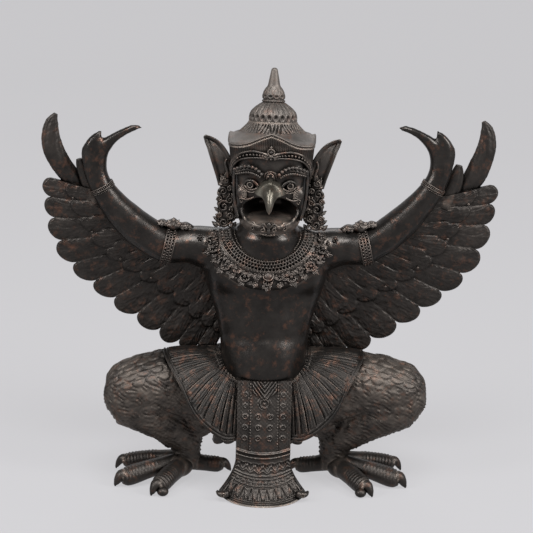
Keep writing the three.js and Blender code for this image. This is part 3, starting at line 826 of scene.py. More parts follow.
SKIRT_WAIST = [[18, -35, 108.5], [27.7, -29.6, 111], [35.2, -20.6, 115.5], [38.6, -10.5, 121], [39.6, 2, 124],
               [37.5, 16, 125], [26, 26, 125], [0, 30, 125]]
SKIRT_HEM = [[18, -44, 55.4], [36.4, -55.5, 57.4], [62.4, -55, 78.6], [78.5, -46, 108.5], [91, -24, 125.5],
             [92, 2, 124.5], [78, 32, 99], [50, 44, 79], [0, 46, 72]]
PLEATS = 15
PLEATED = 0.56
PLEAT_STEPS = 18
BACK_STEPS = 41


def skirt_height(share, in_pleats, v):
    """How far the belt, the pleats, the soft folds behind and the rolled hem stand out."""
    fan = smooth((PLEATED - share) / 0.03)
    pleat = (in_pleats * PLEATS) % 1.0
    number = np.floor(in_pleats * PLEATS)
    fold = np.where(pleat < 0.82, pleat / 0.82, (1 - pleat) / 0.18)
    wavy = (pleat + 0.05 * np.sin(8 * v + 5 * number)) * (3 + number % 2)
    lines = 1.3 * (np.abs(np.sin(math.pi * wavy)) ** 0.8 - 0.55) * (0.8 + 0.3 * np.sin(2.3 * number))
    crumple = 0.9 * np.sin(19 * v + 6 * in_pleats * PLEATS) * smooth((0.2 - v) / 0.08)
    folds = fan * ((2.7 + 0.5 * np.sin(number)) * fold + lines + crumple - 1.8)
    soft = (share - PLEATED) * 46 + 0.5 * np.sin(4 * v + 30 * share)
    rest = (0.9 * np.sin(soft) + 0.35 * np.sin(3 * soft + 1)) * (1 - fan)
    opened = 0.45 + 0.55 * smooth(v * 2)
    belt = 1.4 * bump(v - 0.025, 0.012) + 1.2 * bump(v - 0.075, 0.012)
    hem = 1.9 * bump(v - 0.915, 0.012) + 2.3 * bump(v - 0.968, 0.014)
    inside = smooth((0.9 - v) / 0.015)
    return (folds + rest) * opened * inside + hem - 0.8 * (1 - inside) + belt


def skirt():
    """Half of the pleated skirt, from the sash over the thigh to the middle of the back."""
    columns = PLEAT_STEPS * PLEATS + BACK_STEPS
    u = np.linspace(0, 1, columns)
    pleated = PLEAT_STEPS * PLEATS / columns
    in_pleats = np.minimum(u / pleated, 1)
    share = in_pleats * PLEATED + np.maximum(0, (u - pleated) / (1 - pleated)) * (1 - PLEATED)
    waist, hem = spline(SKIRT_WAIST, share), spline(SKIRT_HEM, share)
    v = np.linspace(0, 1, 57)[:, None]
    grid = waist + (hem - waist) * v[..., None]
    turn = math.pi * share
    way = unit(np.stack([0.45 * np.sin(turn) ** 0.3, -np.cos(turn), 0.55 * np.sin(turn)], axis=-1))
    bulge = 3.5 * np.sin(math.pi * v)
    front = grid + way * (bulge + skirt_height(share, in_pleats, v))[..., None]
    back = grid[::2, ::2] + way[::2] * (bulge[::2] - 5)[..., None]
    return relief_slab(front, back)


# Sash and tail

SASH_TOP = 110.4
SASH_HALF = 24.8
SASH_FOOT_HALF = 39.6
SASH_REACH = 20.9
SASH_SAG = 4.2
SASH_ROWS = 201
SASH_COLUMNS = 129
FLARE_TOP = 34.0
STRIP_LINE = 12.6
FOLD = 45.0
TAIL_FEATHERS = 9


def roundel(x, z, radius, width):
    """Height of a ring with a boss in its middle, from distances across and up."""
    distance = np.hypot(x, z)
    return bump(distance - radius, width) + 0.8 * bump(distance, radius * 0.35)


def upper_sash(x, z):
    """The sash's carving over its fold: side strips, ladders, roundels, chevrons and a checked ground."""
    place = np.abs(x)
    height = bump(place - 24.0, 0.6) + 0.6 * bump(place - 20.4, 0.5)
    ladder = 0.5 + 0.5 * np.sin(z * 2 * math.pi / 2.6)
    height += (0.6 + 0.6 * ladder) * bump(place - STRIP_LINE, 0.7) + 0.7 * bump(place - STRIP_LINE - 2.0, 0.5)
    for level in (58, 68, 78):
        for column, size in ((5.4, 2.3), (17.4, 2.1)):
            height += 1.1 * roundel(place - column, z - level, size, 0.55)
    for level in (88, 98):
        height += 0.7 * roundel(place - 17.4, z - level, 1.8, 0.55)
    height += 1.2 * roundel(x, z - 90, 3.8, 0.7) + 0.6 * bump(np.hypot(x, z - 90) - 5.8, 0.5)
    panel = smooth((STRIP_LINE - 1.4 - place) / 0.6)
    pointed = z - 108 + 1.3 * (STRIP_LINE - 2 - place)
    chevron = np.abs(np.sin(pointed * math.pi / 4.2)) ** 0.8
    height += 1.4 * chevron * smooth((z - 92 - 0.6 * place) / 2) * panel
    checks = np.sin(x * math.pi / 1.7) * np.sin(z * math.pi / 1.9)
    return height + 0.22 * checks * (0.6 + 0.4 * np.sin(0.5 * z + x))


def lower_sash(across, z):
    """The sash's carving under its fold: lotus arches, diamonds between cords, and pointed leaves."""
    turn = across * SASH_HALF
    arches = np.cos(turn * 2 * math.pi / 7.4)
    height = 0.7 * bump(z - 37.6 - 0.5 * arches, 0.6) + 0.8 * bump(z - 33.2 - 2.0 * arches, 0.8)
    height += 0.9 * bump(z - 30.6 - arches, 0.6)
    height += 0.5 * np.sin(turn * math.pi / 1.2) * bump(z - 35.6, 1.0)
    for level in (27.2, 24.8, 19.4):
        height += bump(z - level, 0.6)
    diamond = np.maximum(0, 1 - np.abs((turn % 4.6) / 2.3 - 1) - np.abs(z - 22.1) / 2.4)
    height += 0.9 * smooth(diamond * 2.2)
    side = (turn / 5.4 + 0.5) % 1.0 - 0.5
    half = 0.5 * np.clip((z - 6.0) / 11.5, 0, 1) ** 0.55
    blade = smooth((half - np.abs(side)) / 0.09) * smooth((18.2 - z) / 0.8) * smooth(z - 6)
    veins = 0.4 * np.cos(2 * math.pi * (np.abs(side) * 7 - z / 5))
    between = 0.5 * np.cos(2 * math.pi * turn / 1.5) * (1 - blade) * smooth((12 - z) / 2) * smooth(z - 5)
    height += (1.1 + veins + 0.5 * bump(side, 0.06)) * blade + between
    return height + 1.3 * bump(z - 4.8, 0.6) + 1.2 * smooth((2.8 - z) / 1.2)


def sash_relief(x, z, across):
    """The carving of the sash, whose fold and lower cords sag in the middle."""
    level = z + SASH_SAG * (1 - across**2) * smooth((60 - z) / 8) * smooth(z / 12)
    height = upper_sash(x, z) * smooth(level - FOLD - 4.0)
    height += lower_sash(across, level) * smooth(FOLD - 4.0 - level)
    for place, tall in ((2.3, 2.0), (-1.9, 1.8)):
        height += tall * bump(level - FOLD - place, 1.0)
    return height - 0.2 * bump(level - FOLD - 0.2, 0.5)


def sash():
    """The front sash, from the belt down to the flared foot that stands on the ground."""
    z = np.linspace(SASH_TOP, -0.2, SASH_ROWS)[:, None]
    across = np.linspace(-1, 1, SASH_COLUMNS)[None, :]
    drop = np.clip(1 - z / 110, 0, 1)
    flare = np.clip((FLARE_TOP - z) / FLARE_TOP, 0, 1) ** 1.5
    x = across * (SASH_HALF + (SASH_FOOT_HALF - SASH_HALF) * flare)
    front = -44 - 10 * np.sin((math.pi / 2) * np.minimum(1, drop * 1.6)) - SASH_REACH * flare
    y = front + (2.5 + 15 * flare) * across**2
    lift = 6 * np.abs(across) ** 5 * flare
    grid = np.stack([x, y + 0 * x, z + lift + 0 * x], axis=-1)
    normal = grid_normals(grid)
    normal *= np.sign(-normal[..., 1:2])
    relief = (1.25 * sash_relief(x, z, across) - 1.4) * smooth((1.01 - np.abs(across)) / 0.02)
    fore = grid + normal * relief[..., None]
    rear = grid + np.array([0, 9.0, 0])
    for side in (fore, rear):
        side[..., 2] = np.maximum(side[..., 2], 0)
    return relief_slab(fore, rear[::2, ::2])


def sash_corner():
    """The scroll at a corner of the sash's foot, turned out."""
    lobe = loft(
        [[31, -62.6, 8.6, 3, 3.2], [36, -61.4, 7.4, 3.2, 3.6], [39.6, -60, 7.6, 2.6, 3],
         [42, -58.6, 9.4, 0.9, 1]],
        around=24, step=0.6)
    return [lobe, spiral([36.2, -64.8, 7.2], 2.6, 0.8, 1.2, 2.8, -1)]


def tail_feather(number):
    """A feather of the tail fan, counted from the left."""
    place = (number - (TAIL_FEATHERS - 1) / 2) / (TAIL_FEATHERS / 2)
    aside = smooth((abs(place) - 0.15) / 0.5)
    root = np.array([place * 30, 20 - 6 * place * place, 100])
    tip = np.array([place * 43, 72.8 - 25 * aside, 11 + 2 * aside])
    length = np.linalg.norm(tip - root)
    v = np.linspace(0, 1, int(length / 2.2))[:, None]
    u = np.linspace(-1, 1, 13)[None, :]
    edge = np.clip(u, -0.998, 0.998)
    half = 5.4 + 2.2 * v
    along = v * (1 - (1 - np.sqrt(1 - edge**2)) * 6.5 / length)
    way = unit(tip - root)
    side = unit(np.array([1.0, -0.5 * np.sign(place) * aside, 0]))
    grid = root + (tip - root) * along[..., None] + side * (u * half)[..., None]
    normal = unit(np.cross(side, way))
    normal = normal * np.sign(normal[1])
    barbs = 0.3 * np.sin(2 * math.pi * (v * length * 0.5 - np.abs(u * half)) / 2.6) * smooth(np.abs(u) / 0.2)
    height = 1.2 * (1 - u**2) + barbs + 0.6 * bump(u * half, 0.8) + number % 2
    thick = 5 - 2.6 * v + 0 * u
    return slab(grid + normal * height[..., None], grid - normal * thick[..., None])


# Necklace

COLLAR_ROWS = 4
COLLAR_PITS = 80
BAND_SHARE = 0.44


def collar_place(angle, reach):
    """Places on the necklace, at angles from the front and shares of its breadth."""
    front = np.cos(angle)
    fore = np.abs(front) ** 0.8 * (24.5 + 2.5 * reach)
    out = np.where(front < 0, front * (30 + 12 * reach), fore)
    low = np.where(front < 0, 2 + 16 * reach, 19.6 + 26.9 * reach)
    drop = np.abs(front) * low + (1 - np.abs(front)) * 8 * reach
    x = np.sin(angle) * (29.2 + 27.8 * reach)
    return np.stack([x, -14 - out, 243 - drop], axis=-1)


def collar_band():
    """The necklace's band: rows of deep square pits between raised cords."""
    angle = full_turn(560)[None, :]
    reach = np.concatenate([np.linspace(0.0, 0.47, 34), np.linspace(0.49, 0.95, 12)])[:, None]
    grid = collar_place(angle + 0 * reach, reach + 0 * angle)
    lift = unit(np.stack([np.sin(angle) * 0.25, -np.cos(angle), 0.75 + 0 * angle], axis=-1))
    banded = reach / BAND_SHARE
    row = banded * COLLAR_ROWS
    line = np.abs((row + 0.5) % 1.0 - 0.5)
    pits = np.cos(angle * COLLAR_PITS + math.pi * np.floor(row))
    hole = smooth((pits + 0.25) / 0.4) * smooth((0.5 - np.abs(row % 1.0 - 0.5) - 0.14) / 0.12) * (banded < 1)
    cords = 0.7 * bump(line, 0.12) * (banded < 1.05)
    edge = (0.25 + 0.75 * smooth(reach / 0.09)) * smooth((0.97 - reach) / 0.1)
    height = 3.2 * edge + cords - 3.0 * hole - 1.2 * smooth((reach - 0.5) / 0.1)
    front = grid + lift * height[..., None]
    back = grid[::-15] - lift * 6.0
    return hoop(np.concatenate([front, back], axis=0))


def collar_spot(angle, reach, lift):
    """A place off the necklace, the way out there and the way up towards the neck."""
    spot = collar_place(np.array(angle), np.array(reach))
    normal = unit(np.array([math.sin(angle) * 0.25, -math.cos(angle), 0.75]))
    down = collar_place(np.array(angle), np.array(reach + 0.05)) - spot
    return spot + normal * lift, normal, -down


def collar_ornaments():
    """The crowded leaves, curls and rosettes that hang round the necklace."""
    shapes = []

    def hang(parts, angle, reach, lift, lean=0.0):
        spot, normal, up = collar_spot(angle, reach, lift)
        across = unit(np.cross(normal, up))
        way = -unit(up) * math.cos(lean) + across * math.sin(lean)
        shapes.extend(placed(part, spot, normal, way) for part in parts)
    for number in range(30):
        angle = 2 * math.pi * number / 30
        even = number % 2 == 0
        hang(ringed_rosette(3.9 if even else 3.0), angle, 0.76 if even else 0.64, 2.6)
        hang(leaf_group(6.4 if even else 5.6), angle, 0.90 if even else 0.84, 2.6, rng.normal(0, 0.15))
    for number in range(60):
        angle = 2 * math.pi * (number + 0.5) / 60
        hang(leaf_group(4.6 + rng.random()), angle, 0.54 + 0.05 * rng.random(), 2.6, rng.normal(0, 0.5))
        hang([leaf(5.2, 2.1, 2.2)], angle, 0.66 + 0.22 * rng.random(), 2.6, rng.normal(0, 0.9))
        hang([ball([0, 0, 0], [1.5] * 3, 6, 4)], angle + 0.03, 0.60 + 0.34 * rng.random(), 2.8)
    for number in range(96):
        hang([ball([0, 0, 0], [1.0] * 3, 6, 4)], 2 * math.pi * (number + 0.5) / 96, 0.475, 2.7)
    hang([ball([0, 0, 0], [3.9, 3.9, 2.6], 24, 12)], 0.0, 0.58, 3.2)
    hang([petal_ring(4.6, 0.8)], 0.0, 0.58, 3.2)
    return shapes


# The mask

MASK_VOXEL = 1.2
MOUTH_FLOOR = 264.5
MOUTH_HALF = 24.4
MOUTH_HEIGHT = 18.0
JAW_RIM = [[26, -36, 268], [21, -44.4, 262], [14.5, -51, 259.4], [8, -54.8, 258.6]]
JAW_EDGE = [[28.4, -33, 271], [26, -36, 259.5], [22.4, -40.5, 254.8], [15.4, -46, 251.6],
            [7.7, -49.6, 250.4]]
FACE_BORDER = [[31.4, -33.5, 306], [32.0, -33.5, 298], [31.8, -34.5, 288], [31.0, -35.5, 278],
               [29.6, -36.5, 269], [27.4, -37.5, 261]]
BAND_UPPER = [[2.6, -47.4, 319.4], [4.6, -47.6, 321.0], [9.9, -47.4, 322.5], [17.5, -46.6, 323.3],
              [26.4, -43.4, 320.6], [32.2, -38.0, 315.2], [34.9, -32.5, 309.2], [35.4, -29, 303]]
BAND_LOWER = [[3, -47.4, 316.4], [5.6, -47.6, 317.4], [12.5, -47.2, 317.7], [20.5, -46.0, 317.0],
              [27.4, -42.6, 314.4], [32.2, -37.6, 308.8], [34, -33, 303.5], [34.2, -31, 299]]
BEHIND_EAR = [[34.4, -3, 306, 4, 5], [34.4, -3, 292, 4.6, 5.4], [34.2, -3, 278, 4.6, 5.4],
              [33.6, -4, 266, 4.6, 5], [33.2, -5, 257, 4.4, 4.4], [32.8, -5.6, 251.4, 2.6, 3.0]]


def skull():
    """The head under the mask and the crown, a rounded square in section."""
    return loft(
        [[0, -20, 247, 17, 18], [0, -14, 256, 25.5, 27], [0, -13, 266, 29.4, 31], [0, -12, 280, 31.8, 34],
         [0, -11, 296, 33.3, 35], [0, -10, 312, 35, 35.5], [0, -10, 329, 37, 35.4]],
        around=120, step=0.9, power=3.2)


def mouth_hollow():
    """The open mouth: flat below, arched above and deep, drawn by its outline from front to back."""
    turns = full_turn(72)
    x = rounded(np.cos(turns), 6)
    rise = rounded(np.sin(turns), 3)
    middle = MOUTH_FLOOR + 6
    roof = MOUTH_FLOOR + MOUTH_HEIGHT * (1 - 0.45 * np.abs(x) ** 2.5)
    floor = MOUTH_FLOOR - 1.5 * x**2
    z = middle + np.where(rise > 0, (roof - middle) * rise, (middle - floor) * rise)
    sections = []
    for y, share in ((-75, 1.04), (-44, 1.0), (-38, 0.96), (-32, 0.9), (-25, 0.8), (-17, 0.62), (-12, 0.4)):
        sections.append(np.stack([x * MOUTH_HALF * share, y + 0 * x, middle + (z - middle) * share], axis=-1))
    return tube(np.array(sections))


def eye_hollow(side):
    return ball([side * 17.3, -47.6, 293.0], [7.6, 6.6, 4.9], 32, 20)


def across_face(half, middle):
    """Places across the face: those of its +X half, the middle one and their mirror images."""
    return [*half, middle, *[[-x, y, z] for x, y, z in half[::-1]]]


def head_forms():
    """What is melted into the skull: the lips, the lower bill, the cheeks and the brows' ridges."""
    rim = across_face(JAW_RIM, [0, -56.2, 259.4])
    edge = across_face(JAW_EDGE, [0, -50.6, 250])
    forms = [loft([[*p, 1.7, 2.1] for p in rim], around=20, step=0.7),
             loft([[*p, 1.4, 1.6] for p in edge], around=20, step=0.7),
             ball([0, -36, 257.8], [25, 20, 8.5], 60, 30)]
    for side in (1, -1):
        forms.append(ball([side * 22, -39.5, 284.5], [8.5, 4.6, 7.5], 24, 16))
        forms.append(ball([side * 20.5, -42, 305], [11, 4.0, 3.4], 32, 16))
        forms.append(ball([side * 11.5, -43, 289], [6.5, 5, 6], 24, 16))
    return forms


def beak():
    """The hooked upper bill, with a raised rim along its lower edge."""
    stations = [[0, -36, 286.6, 15.6, 14.5], [0, -45, 286.0, 14.8, 14.0], [0, -50.6, 285.4, 11.8, 11.4],
                [0, -55.2, 284.6, 7.0, 8.0], [0, -58.6, 282.4, 4.4, 5.2], [0, -61.0, 278.6, 3.0, 3.6],
                [0, -62.6, 274.6, 1.7, 2.1], [0, -63.4, 271.6, 0.5, 0.6]]

    def rim(length, angle, along):
        lower = sum(bump(angle - turn, 0.1) for turn in (0.06, math.pi - 0.06, 2 * math.pi + 0.06))
        return 0.5 * lower * smooth((along - 0.2) / 0.2) * smooth((0.98 - along) / 0.1)
    return loft(stations, around=60, step=0.6, power=1.6, face=(0, -1, 0.6), relief=rim, under=0.1)


def brow():
    """A brow: a thick band under a row of curls, with a beaded cord along its lower edge."""
    band = [[6.4, -47.4, 300.6, 1.2, 1.5], [12, -47.4, 305.2, 2.4, 2.4], [19.4, -46.2, 307.2, 2.6, 2.8],
            [26.5, -43.2, 305.4, 2.3, 2.6], [32.4, -38.0, 302.4, 1.3, 1.5]]
    upper = [[6.4, -48.8, 302.2], [12.2, -49.6, 307.8], [19.2, -48.8, 310.2], [26.6, -45.6, 308.2],
             [32.6, -40, 304.6]]
    lower = [[8.6, -49.4, 300.6], [13.4, -50.2, 303.7], [19.2, -49.6, 305.0], [25.6, -46.4, 303.6],
             [31, -41.2, 301.4]]
    return [loft(band, around=16, step=1.0), scalloped(upper, 1.5, 9, 1.3), scalloped(lower, 1.0, 13, 0.9)]


def eye():
    """An eye: its ball with a round pupil line, both lids and the line under it."""
    upper = [[23.0, -43.4, 292.6], [21.2, -45.2, 296.0], [17.6, -46.9, 297.6], [13.4, -47.9, 296.2],
             [10.2, -48.0, 292.4]]
    lower = [[23.0, -43.4, 292.6], [20.4, -45.2, 289.9], [16.8, -46.5, 288.9], [13.2, -47.4, 289.8],
             [10.2, -48.0, 292.2]]
    bag = [[24.4, -42.6, 290.8], [20.8, -45.0, 287.6], [16.6, -46.6, 286.6], [13.0, -47.6, 287.6]]
    turns = np.linspace(0, 2 * math.pi, 16)
    pupil = [[17.6 + 2.4 * math.cos(a), -47.0, 293.2 + 2.4 * math.sin(a)] for a in turns]
    cords = [cord(line, radius) for line, radius in ((pupil, 0.75), (upper, 1.3), (lower, 0.8), (bag, 0.45))]
    return [ball([17.2, -43.4, 293.2], [4.6, 3.4, 3.6], 20, 10), *cords]


def cheek():
    """The cheek's curl and strokes, and the mask's border beside it."""
    line = [[13.8, -48.2, 283.2], [17, -47.4, 281.2], [21.2, -45.2, 279.8], [24.8, -42.8, 280.8],
            [27.4, -40, 283.4]]
    shapes = [cord(line, 0.8), spiral([25.2, -42.2, 277.6], 2.5, 0.6, 1.2, 0.4, 1, (0.5, -1, 0.1))]
    for k in range(5):
        places = ((28.8, -38.6, 291.4, 1.9), (24.6, -43.0, 288.6, 1.6), (20.2, -45.6, 286.0, 1.1))
        shapes.append(cord([[x, y, z - step * k] for x, y, z, step in places], 0.45, 6))
    border = [[x, y - 2.0, z, 1.5, 2.2] for x, y, z in FACE_BORDER]
    return [*shapes, loft(border, around=10)]


def diadem():
    """The beaded band across the forehead, with a round jewel over an arch in its middle."""
    upper, lower = np.array(BAND_UPPER), np.array(BAND_LOWER)
    half = [cord(upper, 1.15, 12), cord(lower, 0.95, 12)]
    t = np.linspace(0.1, 0.94, 17)
    middles = (spline(upper, t) + spline(lower, t)) / 2
    half += [ball([x, y - 0.1, z], [1.2, 1.3, 1.2], 8, 5) for x, y, z in middles]
    half.append(placed(leaf(5.0, 1.9, 1.6), [2.6, -48.2, 320.4], [0.1, -1, 0], [0.9, 0, 0.35]))
    turns = np.linspace(0, 2 * math.pi, 16)
    jewel = [[2.9 * math.cos(a), -48.4, 323.0 + 2.9 * math.sin(a)] for a in turns]
    arch = [[3.4 * math.cos(a), -48.6, 316.4 + 3.0 * math.sin(a)] for a in np.linspace(0, math.pi, 9)]
    return [
        *pair(half),
        cord(jewel, 0.85),
        ball([0, -47.6, 323.0], [1.9, 1.5, 1.9], 16, 10),
        cord(arch, 1.05),
        ball([0, -47.8, 317.0], [1.7, 1.5, 1.7], 16, 10),
        ball([0, -47.8, 327.0], [1.2, 1.0, 1.8], 12, 8),
    ]


def jaw_details():
    """The tongue, and the waved cord, the beads and the curls of the lower bill."""
    wave = [[22.4, -43.6, 264.2], [18.4, -48.0, 259.2], [13.6, -52.2, 261.4], [9.2, -55.0, 257.4],
            [4.8, -57.0, 261.4]]
    shapes = [
        ball([0, -36, 257.9], [24.6, 19.7, 8.4], 40, 20),
        cord(across_face(wave, [0, -57.8, 257.8]), 0.85, 10),
        scalloped(across_face(JAW_EDGE[1:], [0, -51.6, 249.6]), 0.9, 22, 0.5),
        ball([0, -58.2, 260.6], [2.0, 1.5, 2.4], 16, 10),
        ball([0, -56.6, 254.6], [1.7, 1.7, 3.2], 16, 10),
    ]
    curls = ((5.4, -56.8, 255.8, 2.6, 0.75, 1.2, 1, 0.3), (13.6, -52.6, 256.0, 2.4, 0.7, 1.1, -1, 0.4),
             (19.6, -46.8, 257.8, 2.2, 0.65, 1.1, 1, 0.6))
    for side in (1, -1):
        for x, y, z, radius, thick, turns, hand, lean in curls:
            normal = (lean * side, -1, -0.2)
            shapes.append(spiral([side * x, y, z], radius, thick, turns, 1.2, side * hand, normal))
    return shapes


def face_details():
    """All that is carved on the mask: the brows with the crest between them, eyes, cheeks, diadem and jaw."""
    crest = [[5.2, -48.6, 300.6], [4.4, -49.6, 304.2], [0, -50.2, 306.4], [-4.4, -49.6, 304.2],
             [-5.2, -48.6, 300.6]]
    return [
        *pair([*brow(), *eye(), *cheek(), loft(BEHIND_EAR, around=32, step=1)]),
        *diadem(),
        *jaw_details(),
        cord(crest, 0.95),
        cord([[x * 0.62, y - 0.4, z - 1.5] for x, y, z in crest], 0.6),
        *pair([ball([2, -50.4, 302.0], [0.95] * 3, 10, 6)]),
    ]


def ear():
    """A pointed ear with a deep cup and a rolled edge, and the fold in front of it."""
    stations = [[41, -8, 283, 6.6, 4.4], [41.6, -7.8, 295, 9.0, 5], [45.9, -6.6, 307, 8.8, 4.8],
                [51.6, -4.4, 317, 6.9, 4], [57.6, -2, 323, 3.8, 2.6], [61, -1, 325.8, 1.5, 1.4]]

    def cup(length, angle, along):
        inner = smooth((np.sin(angle) - 0.3) / 0.4)
        roll = 0.7 * (bump(angle - 0.42, 0.16) + bump(angle - math.pi + 0.42, 0.16))
        ends = smooth((0.97 - along) / 0.2) * smooth(along / 0.1)
        return (roll - 4.6 * inner) * ends
    fold = [[38.6, -13.4, 291], [39.2, -13.0, 297], [41.2, -11.4, 303], [40.0, -11.0, 308]]
    return [loft(stations, around=44, step=1.1, relief=cup), cord(fold, 1.5, 12)]


def ear_pendant():
    """A flame of scrolls and leaves that hangs in front of each ear, down to the shoulder."""
    shapes = [loft(
        [[40.4, -8, 291, 4.6, 3.0], [39.6, -8, 282, 6.2, 3.6], [39.6, -8, 270, 7.4, 3.8],
         [39.8, -8, 259, 7.8, 3.6], [40.4, -8, 248.5, 6.8, 3.2]],
        around=32, step=1.4)]
    scrolls = ((41.6, 264.4, 5.8, 1.5), (41.2, 249.6, 4.2, 1.4), (36.0, 255.8, 3.6, 1.1),
               (42.6, 278.2, 4.2, 1.2), (36.4, 270.4, 3.6, 1.1), (41.2, 288.4, 3.4, 1.1),
               (36.6, 280.8, 3.2, 1.0), (45.4, 271.4, 2.8, 0.9), (45.6, 256.6, 3.0, 1.0),
               (35.8, 247.6, 2.8, 0.9), (38.8, 293.8, 2.6, 0.9))
    for number, (x, z, radius, thick) in enumerate(scrolls):
        hand = 1 if number % 2 else -1
        shapes.append(spiral([x, -12.6, z], radius, thick, 1.5, 2.4 + 1.3 * number, hand))
    for _ in range(46):
        z = 246 + 48 * rng.random()
        half = 7.6 - 2.4 * smooth((z - 272) / 20)
        side = rng.uniform(-1, 1)
        lean = 0.7 * side + rng.normal(0, 0.35)
        spot = [39.8 + half * side, -11.0 - 0.8 * rng.random(), z - 1.5]
        blade = leaf(rng.uniform(4, 6.2), rng.uniform(1.5, 2.3), 2.0)
        shapes.append(placed(blade, spot, [0.5 * side, -1, 0.1], [math.sin(lean), 0, math.cos(lean)]))
    for x, z, lean in ((45.4, 250.4, 1.1), (47.0, 244.8, 0.9), (43.4, 242.6, 2.6), (36.0, 243.0, -2.6)):
        way = [math.sin(lean), 0, math.cos(lean)]
        shapes.append(placed(leaf(7.0, 2.3, 2.2), [x, -10.8, z], [0.2, -1, 0.1], way))
    return shapes


# The crown and the hair

BRIM_HALF = 38.3
HOOD_LEVEL = 333.2
HOOD_DEPTH = 36.8
CONE_FOOT = 30.4
CONE_TOP = 21.0
CONE_LEVEL = 333.2
CONE_RISE = 10.0
LEAF_CUTS = 52
TIER_LEAN = 0.14
DOME_PETALS = 22
PETAL_LEVEL = 347.0
DOME = [[19.4, 340.8], [21.3, 341.4], [21.7, 342.4], [20.8, 343.6], [20.7, 346.6], [20.0, 350.2],
        [17.9, 353.4], [14.9, 356.2], [12.0, 358.4], [9.9, 360.0], [8.9, 360.8]]
SPIRE_PETALS = 11
ROUNDEL_LEVEL = 365.4
SPIRE = [[8.6, 357.6], [9.2, 359.8], [9.9, 360.8], [9.9, 361.9], [9.1, 362.7], [9.5, 364.2], [9.4, 366.6],
         [8.8, 369.2], [7.6, 371.6], [6.4, 373.6], [5.5, 375.4], [5.0, 377.6], [4.4, 381], [3.6, 385],
         [3.0, 388], [2.4, 389.8], [1.2, 390.7]]


def plan(angle, half, deep, power):
    """A rounded square about the crown's axis, round behind, as x and y, from angles off the front."""
    behind = smooth(-np.cos(angle) / 0.5 + 0.5)
    power = power + (2.3 - power) * behind
    deep = deep - 5.0 * behind
    sides = (np.abs(np.sin(angle)) / half) ** power + (np.abs(np.cos(angle)) / deep) ** power
    reach = sides ** (-1 / power)
    return reach * np.sin(angle), CROWN_Y - reach * np.cos(angle)


def brim_edge(x):
    """How high the brim's edge stands in front: an ogee with a point over the forehead."""
    reach = np.minimum(np.abs(x) / 34, 1)
    arch = (1 + np.cos(math.pi * reach)) / 2
    return 329.6 + 8.6 * arch**1.5 + 1.5 * np.exp(-np.abs(x) / 4)


def hood_edge(x, y):
    """How high the hood's outer edge stands, lower behind than in front, and how far a place is in front."""
    front = smooth((-y - 16) / 26)
    level = HOOD_LEVEL - 7.0 * smooth((y + 14) / 34)
    return level + (brim_edge(x) - level) * front, front


def hair_band():
    """The fluted hair between the diadem and the brim, round the whole head."""
    angle = full_turn(600)
    flute = 1 + (0.5 * np.cos(150 * angle) + 0.3) / 36
    rows = []
    for v in np.linspace(0, 1, 8):
        x, y = plan(angle, 35.2 + 2.0 * v, 35.5 + 0.4 * v, 3.3 + 2.6 * v)
        low = 302 + 15.6 * smooth((33.5 - np.abs(x)) / 9) * smooth((-y - 20) / 10)
        top = hood_edge(x, y)[0] - 2.2
        rows.append(np.stack([x * flute, CROWN_Y + (y - CROWN_Y) * flute, low + (top - low) * v], axis=-1))
    return tube(np.array(rows))


def hood_wall(angle):
    """Rings up the hood's upright edge, with its two cords."""
    x, y = plan(angle, BRIM_HALF, HOOD_DEPTH, 7)
    edge, front = hood_edge(x, y)
    wall = 7.4 - 3.2 * front
    for w in np.linspace(0, 1, 11):
        swell = 1 + (bump(w - 0.14, 0.10) + 1.3 * bump(w - 0.78, 0.2) - 0.9) / 37
        yield np.stack([x * swell, CROWN_Y + (y - CROWN_Y) * swell, edge - wall * (1 - w)], axis=-1)


def cone_rings(angle):
    """Rings up the cone over the hood, with fine lines and leaf cuts that change their slant by threes."""
    lean = TIER_LEAN * np.cos(angle)
    number = LEAF_CUTS * angle / (2 * math.pi)
    side = np.where(np.floor(number / 3) % 2 > 0, 1, -1)
    for c in np.linspace(0, 1, 30)[1:]:
        leaves = number + 1.1 * side * (c - 0.5) + 0.1 * np.sin(7 * number)
        cut = bump(leaves % 1.0 - 0.5, 0.2) * smooth((c - 0.03) / 0.1) * smooth((0.86 - c) / 0.1)
        fine = 0.35 * np.cos(2 * math.pi * 3 * leaves) * smooth((0.86 - c) / 0.1)
        depth = 1.6 * cut - 0.6 * bump(c - 0.94, 0.05) + fine * (1 - cut) * 0.6
        radius = CONE_TOP + (CONE_FOOT - CONE_TOP) * (1 - c) ** 1.15 - depth
        yield round_crown(angle, radius, CONE_LEVEL + CONE_RISE * c + lean * radius - 0.9 * cut)


def hood():
    """The crown's hood: its double edge, its sloping roof and the carved cone over it."""
    angle = full_turn(416)
    rows = list(hood_wall(angle))
    outer = rows[-1]
    foot = round_crown(angle, CONE_FOOT, CONE_LEVEL + TIER_LEAN * np.cos(angle) * CONE_FOOT)
    for v in np.linspace(0, 1, 8)[1:]:
        rows.append(outer + (foot - outer) * v - np.array([0, 0, 0.8]) * math.sin(math.pi * v))
    return tube(np.array([*rows, *cone_rings(angle)]))


def leaned(shape):
    """The crown's tiers lean back, so that their rings stand higher in front."""
    def change(points):
        fade = smooth((384 - points[:, 2]) / 20)
        points[:, 2] += (CROWN_Y - points[:, 1]) * TIER_LEAN * fade
        return points
    return moved(shape, change)


